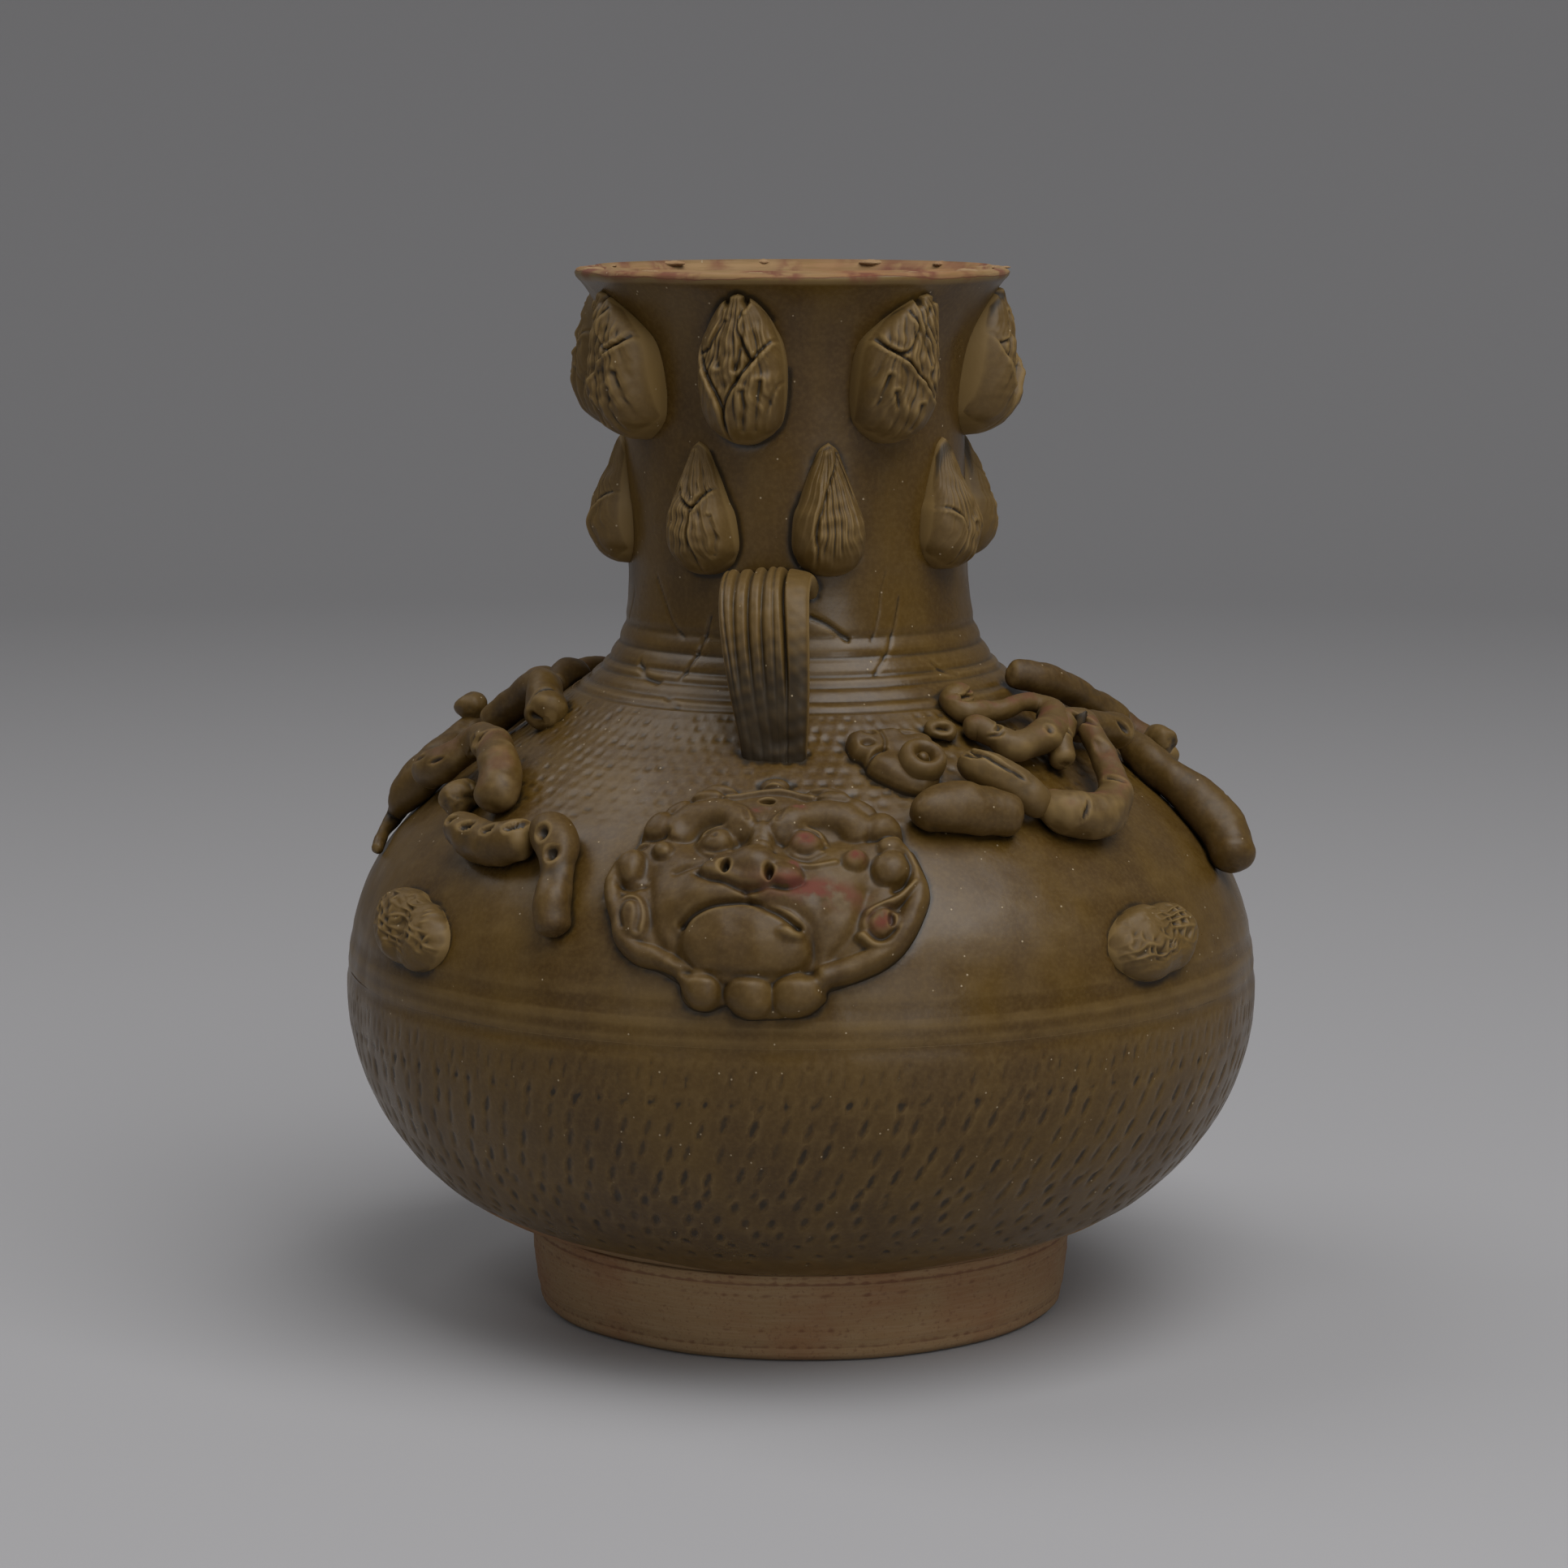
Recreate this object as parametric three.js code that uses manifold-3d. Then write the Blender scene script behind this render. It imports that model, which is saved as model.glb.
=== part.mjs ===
// Garlic-head vase: a stoneware jar luted together from thrown sections, with two strap
// handles, two lion masks, two rows of garlic buds, four peanuts and two coiled dragons.
// Millimetres, +Z up, the axis of the jar on Z, its foot on z = 0, the front facing -Y.
import * as THREE from 'three';
import { mergeVertices } from 'three/addons/utils/BufferGeometryUtils.js';
import Module from 'manifold-3d';

const wasm = await Module();
wasm.setup();

// Driving dimensions of the thrown jar
const HEIGHT = 340;
const FOOT_RADIUS = 86;
const FOOT_TOP_RADIUS = 89.5;
const FOOT_HEIGHT = 29;
const FOOT_WIDTH = 12;
const BELLY_RADIUS = 149;
const BELLY_HEIGHT = 106;
const BELLY_CENTRE_RADIUS = 64;
const SHOULDER_RADIUS = 114;
const SHOULDER_HEIGHT = 174;
const NECK_FOOT_RADIUS = 71.5;
const NECK_FOOT_HEIGHT = 206.5;
const NECK_RADIUS = 55.3;
const NECK_START_HEIGHT = 242;
const FLARE_HEIGHT = 284;
const LIP_RADIUS = 70.5;
const LIP_HEIGHT = 4;
const BODY_WALL = 8;
const NECK_WALL = 6.5;
const RECESS_HEIGHT = 12;
const FLOOR_HEIGHT = 23;

// Seams where the thrown sections are luted together
const BELLY_SEAM_HEIGHT = 113.7;
const NECK_SEAM_HEIGHT = 204;
const LAP = 4;
const GAP = 0.3;
const TURNS = 36;

// The neck was thrown a little out of true and leans towards -X
const LEAN = { reach: 2.7, from: 195, to: 290, turn: -83.5 };

// Applied pieces
const HIGH_BUD = {
  low: 286,
  high: 335.5,
  width: 28,
  face: 73,
  tipFace: 71.5,
  angles: [-8.5, 38, 91, 131, 171.5, 216.5, 261.5, 307.5],
  lean: [0, 3, 5, -3, 0, 3, 2, -4],
};
const LOW_BUD = {
  low: 245,
  high: 287,
  width: 23,
  face: 68,
  tipFace: 59,
  angles: [17, 64, 110, 152, 197, 240, 285, 335.5],
  lean: [2, 3, 0, -3, 2, 4, 3, -3],
};
const MASK = { middle: 193, angle: 1.3, relief: 9 };
const PEANUT = { length: 43, width: 23.5, relief: 8.5, height: 137, angles: [-51, 55] };
const STRAP = { top: 28, bottom: 20, thickness: 7.5, ridges: 5, ridge: 1.2, gap: 0.5 };

const material = (color, roughness) => new THREE.MeshStandardMaterial({ color, roughness, metalness: 0 });
const glaze = () => material(0x4c3b28, 0.35);
const paleGlaze = () => material(0x5a4830, 0.4);
const bareClay = () => material(0x8a6b4c, 0.85);

// Outline of the jar, from the foot to the lip
function jarOutline() {
  const across = BELLY_RADIUS - BELLY_CENTRE_RADIUS;
  const startAngle = -Math.acos((FOOT_TOP_RADIUS - BELLY_CENTRE_RADIUS) / across);
  const up = (BELLY_HEIGHT - FOOT_HEIGHT) / -Math.sin(startAngle);
  const path = new THREE.Path();
  path.moveTo(FOOT_RADIUS, 0);
  path.lineTo(FOOT_TOP_RADIUS, FOOT_HEIGHT);
  path.absellipse(BELLY_CENTRE_RADIUS, BELLY_HEIGHT, across, up, startAngle, 0, false);
  path.bezierCurveTo(BELLY_RADIUS, 140, 134.5, 158, SHOULDER_RADIUS, SHOULDER_HEIGHT);
  path.lineTo(NECK_FOOT_RADIUS, NECK_FOOT_HEIGHT);
  path.bezierCurveTo(61.5, 214, 55.8, 222, NECK_RADIUS, NECK_START_HEIGHT);
  path.lineTo(NECK_RADIUS, FLARE_HEIGHT);
  path.bezierCurveTo(NECK_RADIUS, 310, 59.5, 325, LIP_RADIUS - 2, HEIGHT - LIP_HEIGHT);
  path.lineTo(LIP_RADIUS, HEIGHT);
  return path;
}

const outline = jarOutline();
const outlineLength = outline.getLength();
const SAMPLES = 600;
const samples = Array.from({ length: SAMPLES + 1 }, (_, i) => outline.getPoint(i / SAMPLES));

// Distance along the outline at which it reaches a height
function along(height) {
  const next = samples.findIndex((point) => point.y >= height);
  if (next <= 0) return next === 0 ? 0 : outlineLength;
  const a = samples[next - 1];
  const b = samples[next];
  const part = (height - a.y) / (b.y - a.y);
  return ((next - 1 + part) / SAMPLES) * outlineLength;
}

// A point of the wall: distance along the outline and depth below the outer face
function wallSection(distance, depth = 0) {
  const u = THREE.MathUtils.clamp(distance / outlineLength, 0, 1);
  const point = outline.getPoint(u);
  const tangent = outline.getTangent(THREE.MathUtils.clamp(u, 0.0005, 0.9995));
  return new THREE.Vector2(point.x - tangent.y * depth, point.y + tangent.x * depth);
}

// A point in space at a turn about the axis, in degrees from the front towards +X
function place(section, angle) {
  const turn = THREE.MathUtils.degToRad(angle);
  return new THREE.Vector3(section.x * Math.sin(turn), -section.x * Math.cos(turn), section.y);
}

// A point above the outer face, by turn, height of the face and lift above it
function onWall(angle, height, lift = 0) {
  return place(wallSection(along(height), -lift), angle);
}

// Moves a point that lies in the wall out to the gap above its outer face
function pushOut(point, gap = GAP) {
  const radius = Math.hypot(point.x, point.y);
  const angle = THREE.MathUtils.radToDeg(Math.atan2(point.x, -point.y));
  let distance = along(THREE.MathUtils.clamp(point.z, 1, HEIGHT - 1));
  let lift = 0;
  for (let step = 0; step < 4; step += 1) {
    const foot = wallSection(distance);
    const out = wallSection(distance, -1).sub(foot);
    const offset = new THREE.Vector2(radius, point.z).sub(foot);
    lift = offset.dot(out);
    distance += offset.x * -out.y + offset.y * out.x;
  }
  return lift >= gap ? point : place(wallSection(distance, -gap), angle);
}

// Geometry helpers
function outward(geometry) {
  const position = geometry.getAttribute('position');
  const index = geometry.getIndex();
  const corner = [new THREE.Vector3(), new THREE.Vector3(), new THREE.Vector3()];
  let volume = 0;
  for (let i = 0; i < index.count; i += 3) {
    corner.forEach((v, k) => v.fromBufferAttribute(position, index.getX(i + k)));
    volume += corner[0].dot(corner[1].clone().cross(corner[2]));
  }
  if (volume < 0) {
    for (let i = 0; i < index.count; i += 3) {
      const second = index.getX(i + 1);
      index.setX(i + 1, index.getX(i + 2));
      index.setX(i + 2, second);
    }
  }
  return geometry;
}

function closed(geometry) {
  geometry.deleteAttribute('normal');
  geometry.deleteAttribute('uv');
  return outward(mergeVertices(geometry, 1e-4));
}

function fromPoints(points, faces) {
  const geometry = new THREE.BufferGeometry();
  const flat = points.flatMap((p) => [p.x, p.y, p.z]);
  geometry.setAttribute('position', new THREE.Float32BufferAttribute(flat, 3));
  geometry.setIndex(faces.flat());
  return closed(geometry);
}

function toSolid(geometry) {
  return new wasm.Manifold(new wasm.Mesh({
    numProp: 3,
    vertProperties: new Float32Array(geometry.getAttribute('position').array),
    triVerts: new Uint32Array(geometry.getIndex().array),
  }));
}

function cutBy(geometry, tools) {
  const solid = tools.reduce((rest, tool) => rest.subtract(toSolid(tool)), toSolid(geometry));
  const mesh = solid.getMesh();
  const result = new THREE.BufferGeometry();
  result.setAttribute('position', new THREE.BufferAttribute(mesh.vertProperties, 3));
  result.setIndex(new THREE.BufferAttribute(mesh.triVerts, 1));
  return outward(result);
}

// Closed skin over rings of equal length, with a fan on each end
function skin(rings) {
  const count = rings[0].length;
  const points = rings.flat();
  const faces = [];
  rings.slice(1).forEach((_, row) => {
    for (let i = 0; i < count; i += 1) {
      const a = row * count + i;
      const b = row * count + ((i + 1) % count);
      faces.push([a, b, b + count], [a, b + count, a + count]);
    }
  });
  [0, rings.length - 1].forEach((row) => {
    const middle = rings[row].reduce((sum, p) => sum.add(p), new THREE.Vector3());
    points.push(pushOut(middle.divideScalar(count)));
    for (let i = 0; i < count; i += 1) {
      const a = row * count + i;
      const b = row * count + ((i + 1) % count);
      faces.push(row === 0 ? [b, a, points.length - 1] : [a, b, points.length - 1]);
    }
  });
  return fromPoints(points, faces);
}

function revolve(profile) {
  const points = [...profile, profile[0]];
  const geometry = new THREE.LatheGeometry(points, TURNS);
  geometry.rotateX(Math.PI / 2);
  return closed(geometry);
}

// Thrown sections
function wallThickness(distance) {
  const middle = along(NECK_SEAM_HEIGHT);
  return THREE.MathUtils.lerp(BODY_WALL, NECK_WALL, THREE.MathUtils.smoothstep(distance, middle, middle + 40));
}

function faceRun(from, to, step, inner) {
  const count = Math.max(1, Math.round(Math.abs(to - from) / step));
  return Array.from({ length: count + 1 }, (_, i) => {
    const distance = from + ((to - from) * i) / count;
    return wallSection(distance, inner ? wallThickness(distance) : 0);
  });
}

function footRing() {
  const inner = FOOT_RADIUS - FOOT_WIDTH + 1;
  const bevel = 1.5;
  const v = (x, y) => new THREE.Vector2(x, y);
  return revolve([
    v(inner + bevel, 0),
    v(FOOT_RADIUS - bevel, 0),
    v(FOOT_RADIUS, bevel),
    v(FOOT_TOP_RADIUS, FOOT_HEIGHT - GAP),
    v(inner, FOOT_HEIGHT - GAP),
    v(inner, bevel),
  ]);
}

function lapBelow(seam) {
  const t = wallThickness(seam);
  return [
    wallSection(seam - GAP / 2, 0),
    wallSection(seam - GAP / 2, t / 2),
    wallSection(seam + LAP - GAP / 2, t / 2),
    wallSection(seam + LAP - GAP / 2, t),
  ];
}

function lapAbove(seam) {
  const t = wallThickness(seam);
  return [
    wallSection(seam + LAP + GAP / 2, t),
    wallSection(seam + LAP + GAP / 2, t / 2 - GAP),
    wallSection(seam + GAP / 2, t / 2 - GAP),
    wallSection(seam + GAP / 2, 0),
  ];
}

function bowl() {
  const v = (x, y) => new THREE.Vector2(x, y);
  const seam = along(BELLY_SEAM_HEIGHT);
  const start = along(FOOT_HEIGHT);
  const plug = FOOT_RADIUS - FOOT_WIDTH + 1 - GAP;
  const profile = [
    v(0, RECESS_HEIGHT),
    v(plug, RECESS_HEIGHT),
    v(plug, FOOT_HEIGHT),
    ...faceRun(start + 0.05, seam - 6, 15, false),
    ...lapBelow(seam),
    ...faceRun(seam - 6, start + 16, 18, true),
    v(plug - 8, FLOOR_HEIGHT),
    v(0, FLOOR_HEIGHT),
  ];
  const geometry = new THREE.LatheGeometry(profile, TURNS);
  geometry.rotateX(Math.PI / 2);
  return closed(geometry);
}

function shoulder() {
  const low = along(BELLY_SEAM_HEIGHT);
  const high = along(NECK_SEAM_HEIGHT);
  return revolve([
    ...lapAbove(low),
    ...faceRun(low + 8, high - 7, 14, false),
    ...lapBelow(high),
    ...faceRun(high - 7, low + LAP + 9, 18, true),
  ]);
}

function neck() {
  const low = along(NECK_SEAM_HEIGHT);
  const bend = along(NECK_START_HEIGHT);
  const flare = along(FLARE_HEIGHT);
  const lip = along(HEIGHT - LIP_HEIGHT);
  const t = wallThickness(outlineLength);
  return revolve([
    ...lapAbove(low),
    ...faceRun(low + 5, bend, 5.5, false),
    ...faceRun(flare, lip, 9, false),
    new THREE.Vector2(LIP_RADIUS, HEIGHT - 1.2),
    new THREE.Vector2(LIP_RADIUS - 1.2, HEIGHT),
    new THREE.Vector2(LIP_RADIUS - t + 1.5, HEIGHT),
    new THREE.Vector2(LIP_RADIUS - t, HEIGHT - 1.8),
    ...faceRun(lip - 4, flare, 13, true),
    ...faceRun(bend, low + LAP + 5, 11, true),
  ]);
}

// A pressed sprig: spokes from its middle out to its outline, a back that follows the wall
function sprig({ angle, distance, tilt = 0, edge, lift, spokes, rings, grow = 0, radial = false }) {
  const turn = THREE.MathUtils.degToRad(tilt);
  const toWall = (x, y, height) => {
    const u = x * Math.cos(turn) - y * Math.sin(turn);
    const v = x * Math.sin(turn) + y * Math.cos(turn);
    const foot = wallSection(distance + v);
    const section = radial
      ? new THREE.Vector2(foot.x + height, foot.y)
      : wallSection(distance + v, -height);
    return place(section, angle + THREE.MathUtils.radToDeg(u / foot.x));
  };
  const base = grow > 0 ? -1 : GAP + (radial ? 0.2 : 0);
  const front = [];
  const back = [];
  for (let ring = 0; ring <= rings; ring += 1) {
    const part = ring / rings;
    for (let i = 0; i < spokes; i += 1) {
      const around = (i / spokes) * Math.PI * 2;
      const reach = (edge(around) + grow) * part;
      const x = Math.cos(around) * reach;
      const y = Math.sin(around) * reach;
      front.push(toWall(x, y, Math.max(lift(x, y, part), 1) + grow));
      back.push(toWall(x, y, base));
    }
  }
  const count = front.length;
  const faces = [];
  for (let ring = 0; ring < rings; ring += 1) {
    for (let i = 0; i < spokes; i += 1) {
      const a = ring * spokes + i;
      const b = ring * spokes + ((i + 1) % spokes);
      if (ring > 0) faces.push([a, b, b + spokes]);
      faces.push([a, b + spokes, a + spokes]);
      if (ring > 0) faces.push([count + a, count + b + spokes, count + b]);
      faces.push([count + a, count + a + spokes, count + b + spokes]);
    }
  }
  for (let i = 0; i < spokes; i += 1) {
    const a = rings * spokes + i;
    const b = rings * spokes + ((i + 1) % spokes);
    faces.push([a, b, count + b], [a, count + b, count + a]);
  }
  return fromPoints([...front, ...back], faces);
}

// Reach of an outline in one direction, from its half width at each height
function reachOf(halfWidth, low, high, around) {
  const side = Math.abs(Math.cos(around));
  const up = Math.sin(around);
  let inside = 0;
  let outside = Math.max(high, -low) * 1.5;
  for (let i = 0; i < 24; i += 1) {
    const reach = (inside + outside) / 2;
    const y = reach * up;
    const within = y > low && y < high && reach * side < halfWidth(y);
    if (within) inside = reach;
    else outside = reach;
  }
  return inside;
}

// A garlic bud: round at the foot, drawn out to a point
function bud(row, angle, lean) {
  const half = (row.high - row.low) / 2;
  const middle = along((row.high + row.low) / 2);
  const belly = -half * 0.5;
  const halfWidth = (y) => {
    const part = y < belly ? (belly - y) / (belly + half) : (y - belly) / (half - belly);
    const fall = y < belly ? Math.sqrt(1 - part ** 2) : Math.cos((part ** 1.15) * Math.PI * 0.5) ** 0.9;
    return (row.width / 2) * fall;
  };
  const edge = (around) => reachOf(halfWidth, -half, half, around);
  const lift = (x, y, part) => {
    const face = THREE.MathUtils.lerp(row.face, row.tipFace, THREE.MathUtils.smoothstep(y, belly, half));
    const toFace = face - wallSection(middle + y).x;
    return Math.max(toFace * (1 - part ** 4) + 2 * (part ** 4), 1.5);
  };
  return sprig({ angle, distance: middle, tilt: -lean, edge, lift, spokes: 12, rings: 3, radial: true });
}

// Lion mask: scalloped mane round a face with brows, muzzle, cheeks and chin
const MASK_LOBES = [
  [0, 3, 17, 14, 4.5],
  [0, -3, 10, 8, 5.5],
  [-15, 24, 11, 6, 3.2],
  [15, 24, 11, 6, 3.2],
  [-24, -8, 13, 14, 3.5],
  [24, -8, 13, 14, 3.5],
  [0, -25, 17, 11, 4.5],
];
const MANE_SCALLOPS = 15;
const MASK_HALF_WIDTHS = [
  [-43, 0],
  [-41, 14],
  [-37, 21],
  [-31, 26],
  [-27, 37],
  [-18, 46.5],
  [-4, 52],
  [10, 48],
  [25, 38],
  [35, 28],
  [40, 15],
  [43, 0],
];

function maskHalfWidth(y) {
  const next = MASK_HALF_WIDTHS.findIndex(([height]) => height >= y);
  if (next <= 0) return 0;
  const [lowY, low] = MASK_HALF_WIDTHS[next - 1];
  const [highY, high] = MASK_HALF_WIDTHS[next];
  return THREE.MathUtils.lerp(low, high, (y - lowY) / (highY - lowY));
}

function maskEdge(around) {
  const scallop = 1 + 0.03 * Math.cos(MANE_SCALLOPS * (around + Math.PI / 2));
  return reachOf(maskHalfWidth, -43, 43, around) * scallop;
}

function maskLift(x, y, part) {
  const lobes = MASK_LOBES.reduce((sum, [cx, cy, w, h, up]) => {
    return sum + up * Math.exp(-(((x - cx) / w) ** 2) - ((y - cy) / h) ** 2);
  }, 0);
  const mane = 2.5 * Math.exp(-(((part - 0.86) / 0.1) ** 2));
  const edge = Math.sqrt(Math.max(1 - part ** 6, 0));
  return 2 + (MASK.relief - 4 + mane + lobes) * edge;
}

function mask(turn, grow = 0) {
  const angle = MASK.angle + turn;
  return sprig({ angle, distance: MASK.middle, edge: maskEdge, lift: maskLift, spokes: 39, rings: 6, grow });
}

// Peanut: two lobes with a waist
function peanut(angle, tilt) {
  const half = PEANUT.length / 2;
  const edge = (around) => {
    const oval = 1 / Math.hypot(Math.cos(around) / half, Math.sin(around) / (PEANUT.width / 2));
    return oval * (1 - 0.12 * Math.sin(around) ** 4);
  };
  const lift = (x, y, part) => {
    const waist = 1 - 0.18 * Math.exp(-((x / 5) ** 2));
    return 1 + PEANUT.relief * waist * Math.sqrt(Math.max(1 - part ** 2.5, 0));
  };
  return sprig({ angle, distance: along(PEANUT.height), tilt, edge, lift, spokes: 12, rings: 3 });
}

// A hand-rolled coil of clay laid on the wall: stations of turn, height, lift and radius
const COIL_SIDES = 8;

function coil(stations, { turn = 0, grow = 0, steps = 2, flat = 1 } = {}) {
  const points = stations.map(([angle, height, lift]) => onWall(angle + turn, height, lift));
  const curve = new THREE.CatmullRomCurve3(points, false, 'centripetal');
  const count = (stations.length - 1) * steps;
  const rings = [];
  for (let i = 0; i <= count; i += 1) {
    const u = i / count;
    const at = curve.getPoint(u);
    const tangent = curve.getTangent(THREE.MathUtils.clamp(u, 0.001, 0.999));
    const away = new THREE.Vector3(at.x, at.y, 0).normalize();
    const across = new THREE.Vector3().crossVectors(tangent, away).normalize();
    const up = new THREE.Vector3().crossVectors(across, tangent).normalize();
    const station = u * (stations.length - 1);
    const low = Math.min(Math.floor(station), stations.length - 2);
    const radius = THREE.MathUtils.lerp(stations[low][3], stations[low + 1][3], station - low);
    const cap = i === 0 || i === count ? 0.62 : 1;
    const size = radius * cap + grow;
    const ring = [];
    for (let k = 0; k < COIL_SIDES; k += 1) {
      const around = ((k + 0.5) / COIL_SIDES) * Math.PI * 2;
      const point = at.clone();
      point.addScaledVector(across, Math.cos(around) * size);
      point.addScaledVector(up, Math.sin(around) * size * flat);
      ring.push(pushOut(point, grow > 0 ? GAP / 2 : GAP));
    }
    rings.push(ring);
  }
  if (grow > 0) {
    rings[0].forEach((p) => p.addScaledVector(curve.getTangent(0.001), -grow));
    rings[count].forEach((p) => p.addScaledVector(curve.getTangent(0.999), grow));
  }
  return skin(rings);
}

// Strap handle: a ribbed strap from the neck over to the shoulder
const STRAP_ROUTE = [
  [53, 240.5],
  [61, 243.5],
  [71, 245],
  [80.5, 242],
  [86.5, 234.5],
  [88.5, 224],
  [88.5, 212],
  [87.5, 203],
  [84, 195.5],
];

const UNDERSIDE = [0.44, 0.22, 0, -0.22, -0.44];

function strapHandle(turn) {
  const points = STRAP_ROUTE.map(([radius, height]) => place(new THREE.Vector2(radius, height), turn));
  const curve = new THREE.CatmullRomCurve3(points, false, 'centripetal');
  const side = place(new THREE.Vector2(1, 0), turn + 90);
  const count = 12;
  const across = STRAP.ridges * 2;
  const rings = [];
  for (let i = 0; i <= count; i += 1) {
    const u = i / count;
    const at = curve.getPoint(u);
    const out = new THREE.Vector3().crossVectors(curve.getTangent(u), side).normalize();
    const width = THREE.MathUtils.lerp(STRAP.top, STRAP.bottom, THREE.MathUtils.smoothstep(u, 0.4, 1));
    const ring = [];
    for (let k = 0; k <= across; k += 1) {
      const level = STRAP.thickness / 2 - (k % 2 === 0 ? STRAP.ridge : 0);
      ring.push([((k / across) - 0.5) * width, level]);
    }
    UNDERSIDE.forEach((x) => ring.push([width * x, -STRAP.thickness / 2]));
    rings.push(ring.map(([x, y]) => {
      return pushOut(at.clone().addScaledVector(side, x).addScaledVector(out, y), STRAP.gap);
    }));
  }
  return skin(rings);
}

// Dragons. The fore part holds the head, horn, brow, forelegs and neck coil; the hind part
// holds the coil, knob, leg and foot. Each is laid once at the front and once at the back.
const FORE = {
  horn: [[35, 191, 9, 3.5], [37, 185.5, 11, 4.5], [40, 180, 11, 4.5], [44, 173.5, 9.5, 3]],
  foreleg_low: [
    [24.5, 176.5, 4, 4], [28, 175.5, 5, 7.5], [33, 175, 5.5, 8], [38, 174, 5, 7.5], [42, 173, 4.5, 6],
  ],
  neck_coil: [
    [47, 181, 4, 5], [48.5, 176, 6, 6.5], [52, 171.5, 6.5, 7.3], [57, 170.5, 7, 7.5], [59.5, 174.5, 10, 7],
    [62, 181, 12, 6.5], [65, 187, 12.5, 6.5], [62, 190, 11, 6], [57.5, 187, 8, 6], [54.5, 181.5, 4, 5],
  ],
  foreleg_high: [
    [42, 201.5, 2.5, 3.5], [47, 198.5, 4, 5], [54.5, 197, 6, 5], [61, 197.5, 7, 5.2], [63.5, 194, 8, 5.2],
    [57.5, 191, 9, 5], [50, 188.5, 6.5, 5.2], [45.5, 188, 4, 5],
  ],
  brow: [[32, 201, 3, 3.5], [36, 199.5, 4, 4.5], [41, 196, 4, 4]],
};
const HIND = {
  hind_coil: [
    [-74, 174, 5, 5.5], [-75, 179.5, 7, 6], [-68, 182.5, 8, 6.2], [-58, 181, 8, 6.2],
    [-51.5, 175.5, 6.5, 6.2], [-50.5, 170.5, 4.5, 5.5],
  ],
  hind_knob: [[-58.5, 172.5, 4, 4.5], [-58, 169.5, 6, 5]],
  hind_leg: [[-52, 164.5, 5, 6], [-46, 162, 5.5, 7], [-40, 163, 5.5, 7], [-34.5, 166, 5.5, 6.5]],
  hind_foot: [
    [-32, 168.5, 5.5, 5.5], [-28.5, 164.5, 6, 6.5], [-27, 157, 5.5, 6], [-26, 150, 5, 5.5], [-24.5, 143, 4, 5],
  ],
};
const RIGHT_MIDDLE = {
  body: [[71, 190.5, 6, 5.5], [78, 188, 8, 5.8], [85, 184, 9.5, 6]],
  back: [
    [76, 209, 4, 4.5], [81, 204.5, 7, 5.5], [87, 199.5, 8, 5.5], [92, 194, 9, 5.5], [95, 189, 10, 5.5],
    [97, 184, 8, 5],
  ],
  hip: [[94, 182.5, 16, 5], [93, 179.5, 19, 5.5]],
  haunch: [[88, 177.5, 8, 6.5], [86.5, 171, 9, 7], [86, 164, 9, 7.5], [84, 156, 8.5, 8], [81, 147.5, 7.5, 7.5]],
};
const LEFT_MIDDLE = {
  body: [[-85, 186, 5, 5.5], [-81, 192.5, 7, 6], [-75, 199, 8, 6], [-69, 199, 6, 6.5], [-66, 193, 4, 7.5]],
  back: [[-108, 202, 3, 4.5], [-102, 200.5, 4.5, 5], [-94, 199, 2.5, 4.5]],
  hip: [[-90, 185, 13, 4.5], [-88, 182.5, 15.5, 5]],
  haunch: [
    [-87, 179, 7, 6], [-82.5, 174, 8.5, 6.2], [-81, 168, 8, 6], [-83, 162, 6, 4.5],
    [-84, 156, 3.5, 2.6], [-81, 149.5, 2, 1.8],
  ],
};
const HEAD = { angle: 27.2, height: 189.5, length: 34, width: 22, tilt: -22, relief: 6 };
const EYE = { angle: 28, height: 188, radius: 7.3, hole: 2.6, low: 4.5, high: 9.5 };
const HALF_TURN = 180;

function dragonHead(turn) {
  const edge = (around) => {
    return 1 / Math.hypot(Math.cos(around) / (HEAD.length / 2), Math.sin(around) / (HEAD.width / 2));
  };
  const lift = (x, y, part) => 1.5 + HEAD.relief * Math.sqrt(Math.max(1 - part ** 3, 0));
  const distance = along(HEAD.height);
  return sprig({ angle: HEAD.angle + turn, distance, tilt: HEAD.tilt, edge, lift, spokes: 16, rings: 4 });
}

function eyeRing(turn, grow = 0) {
  const v = (x, y) => new THREE.Vector2(x, y);
  const profile = grow > 0
    ? [v(0, EYE.low - grow), v(EYE.radius + grow, EYE.low - grow), v(EYE.radius + grow, EYE.high + 20),
      v(0, EYE.high + 20)]
    : [v(EYE.hole, EYE.low), v(EYE.radius, EYE.low), v(EYE.radius, EYE.high - 2), v(EYE.radius - 2, EYE.high),
      v(EYE.hole + 1.2, EYE.high), v(EYE.hole, EYE.high - 1.5), v(EYE.hole, EYE.low)];
  const geometry = new THREE.LatheGeometry(profile, 14);
  const foot = onWall(EYE.angle + turn, EYE.height);
  const out = onWall(EYE.angle + turn, EYE.height, 1).sub(foot);
  const toNormal = new THREE.Quaternion().setFromUnitVectors(new THREE.Vector3(0, 1, 0), out.normalize());
  geometry.applyQuaternion(toNormal);
  geometry.translate(foot.x, foot.y, foot.z);
  return closed(geometry);
}

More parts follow.
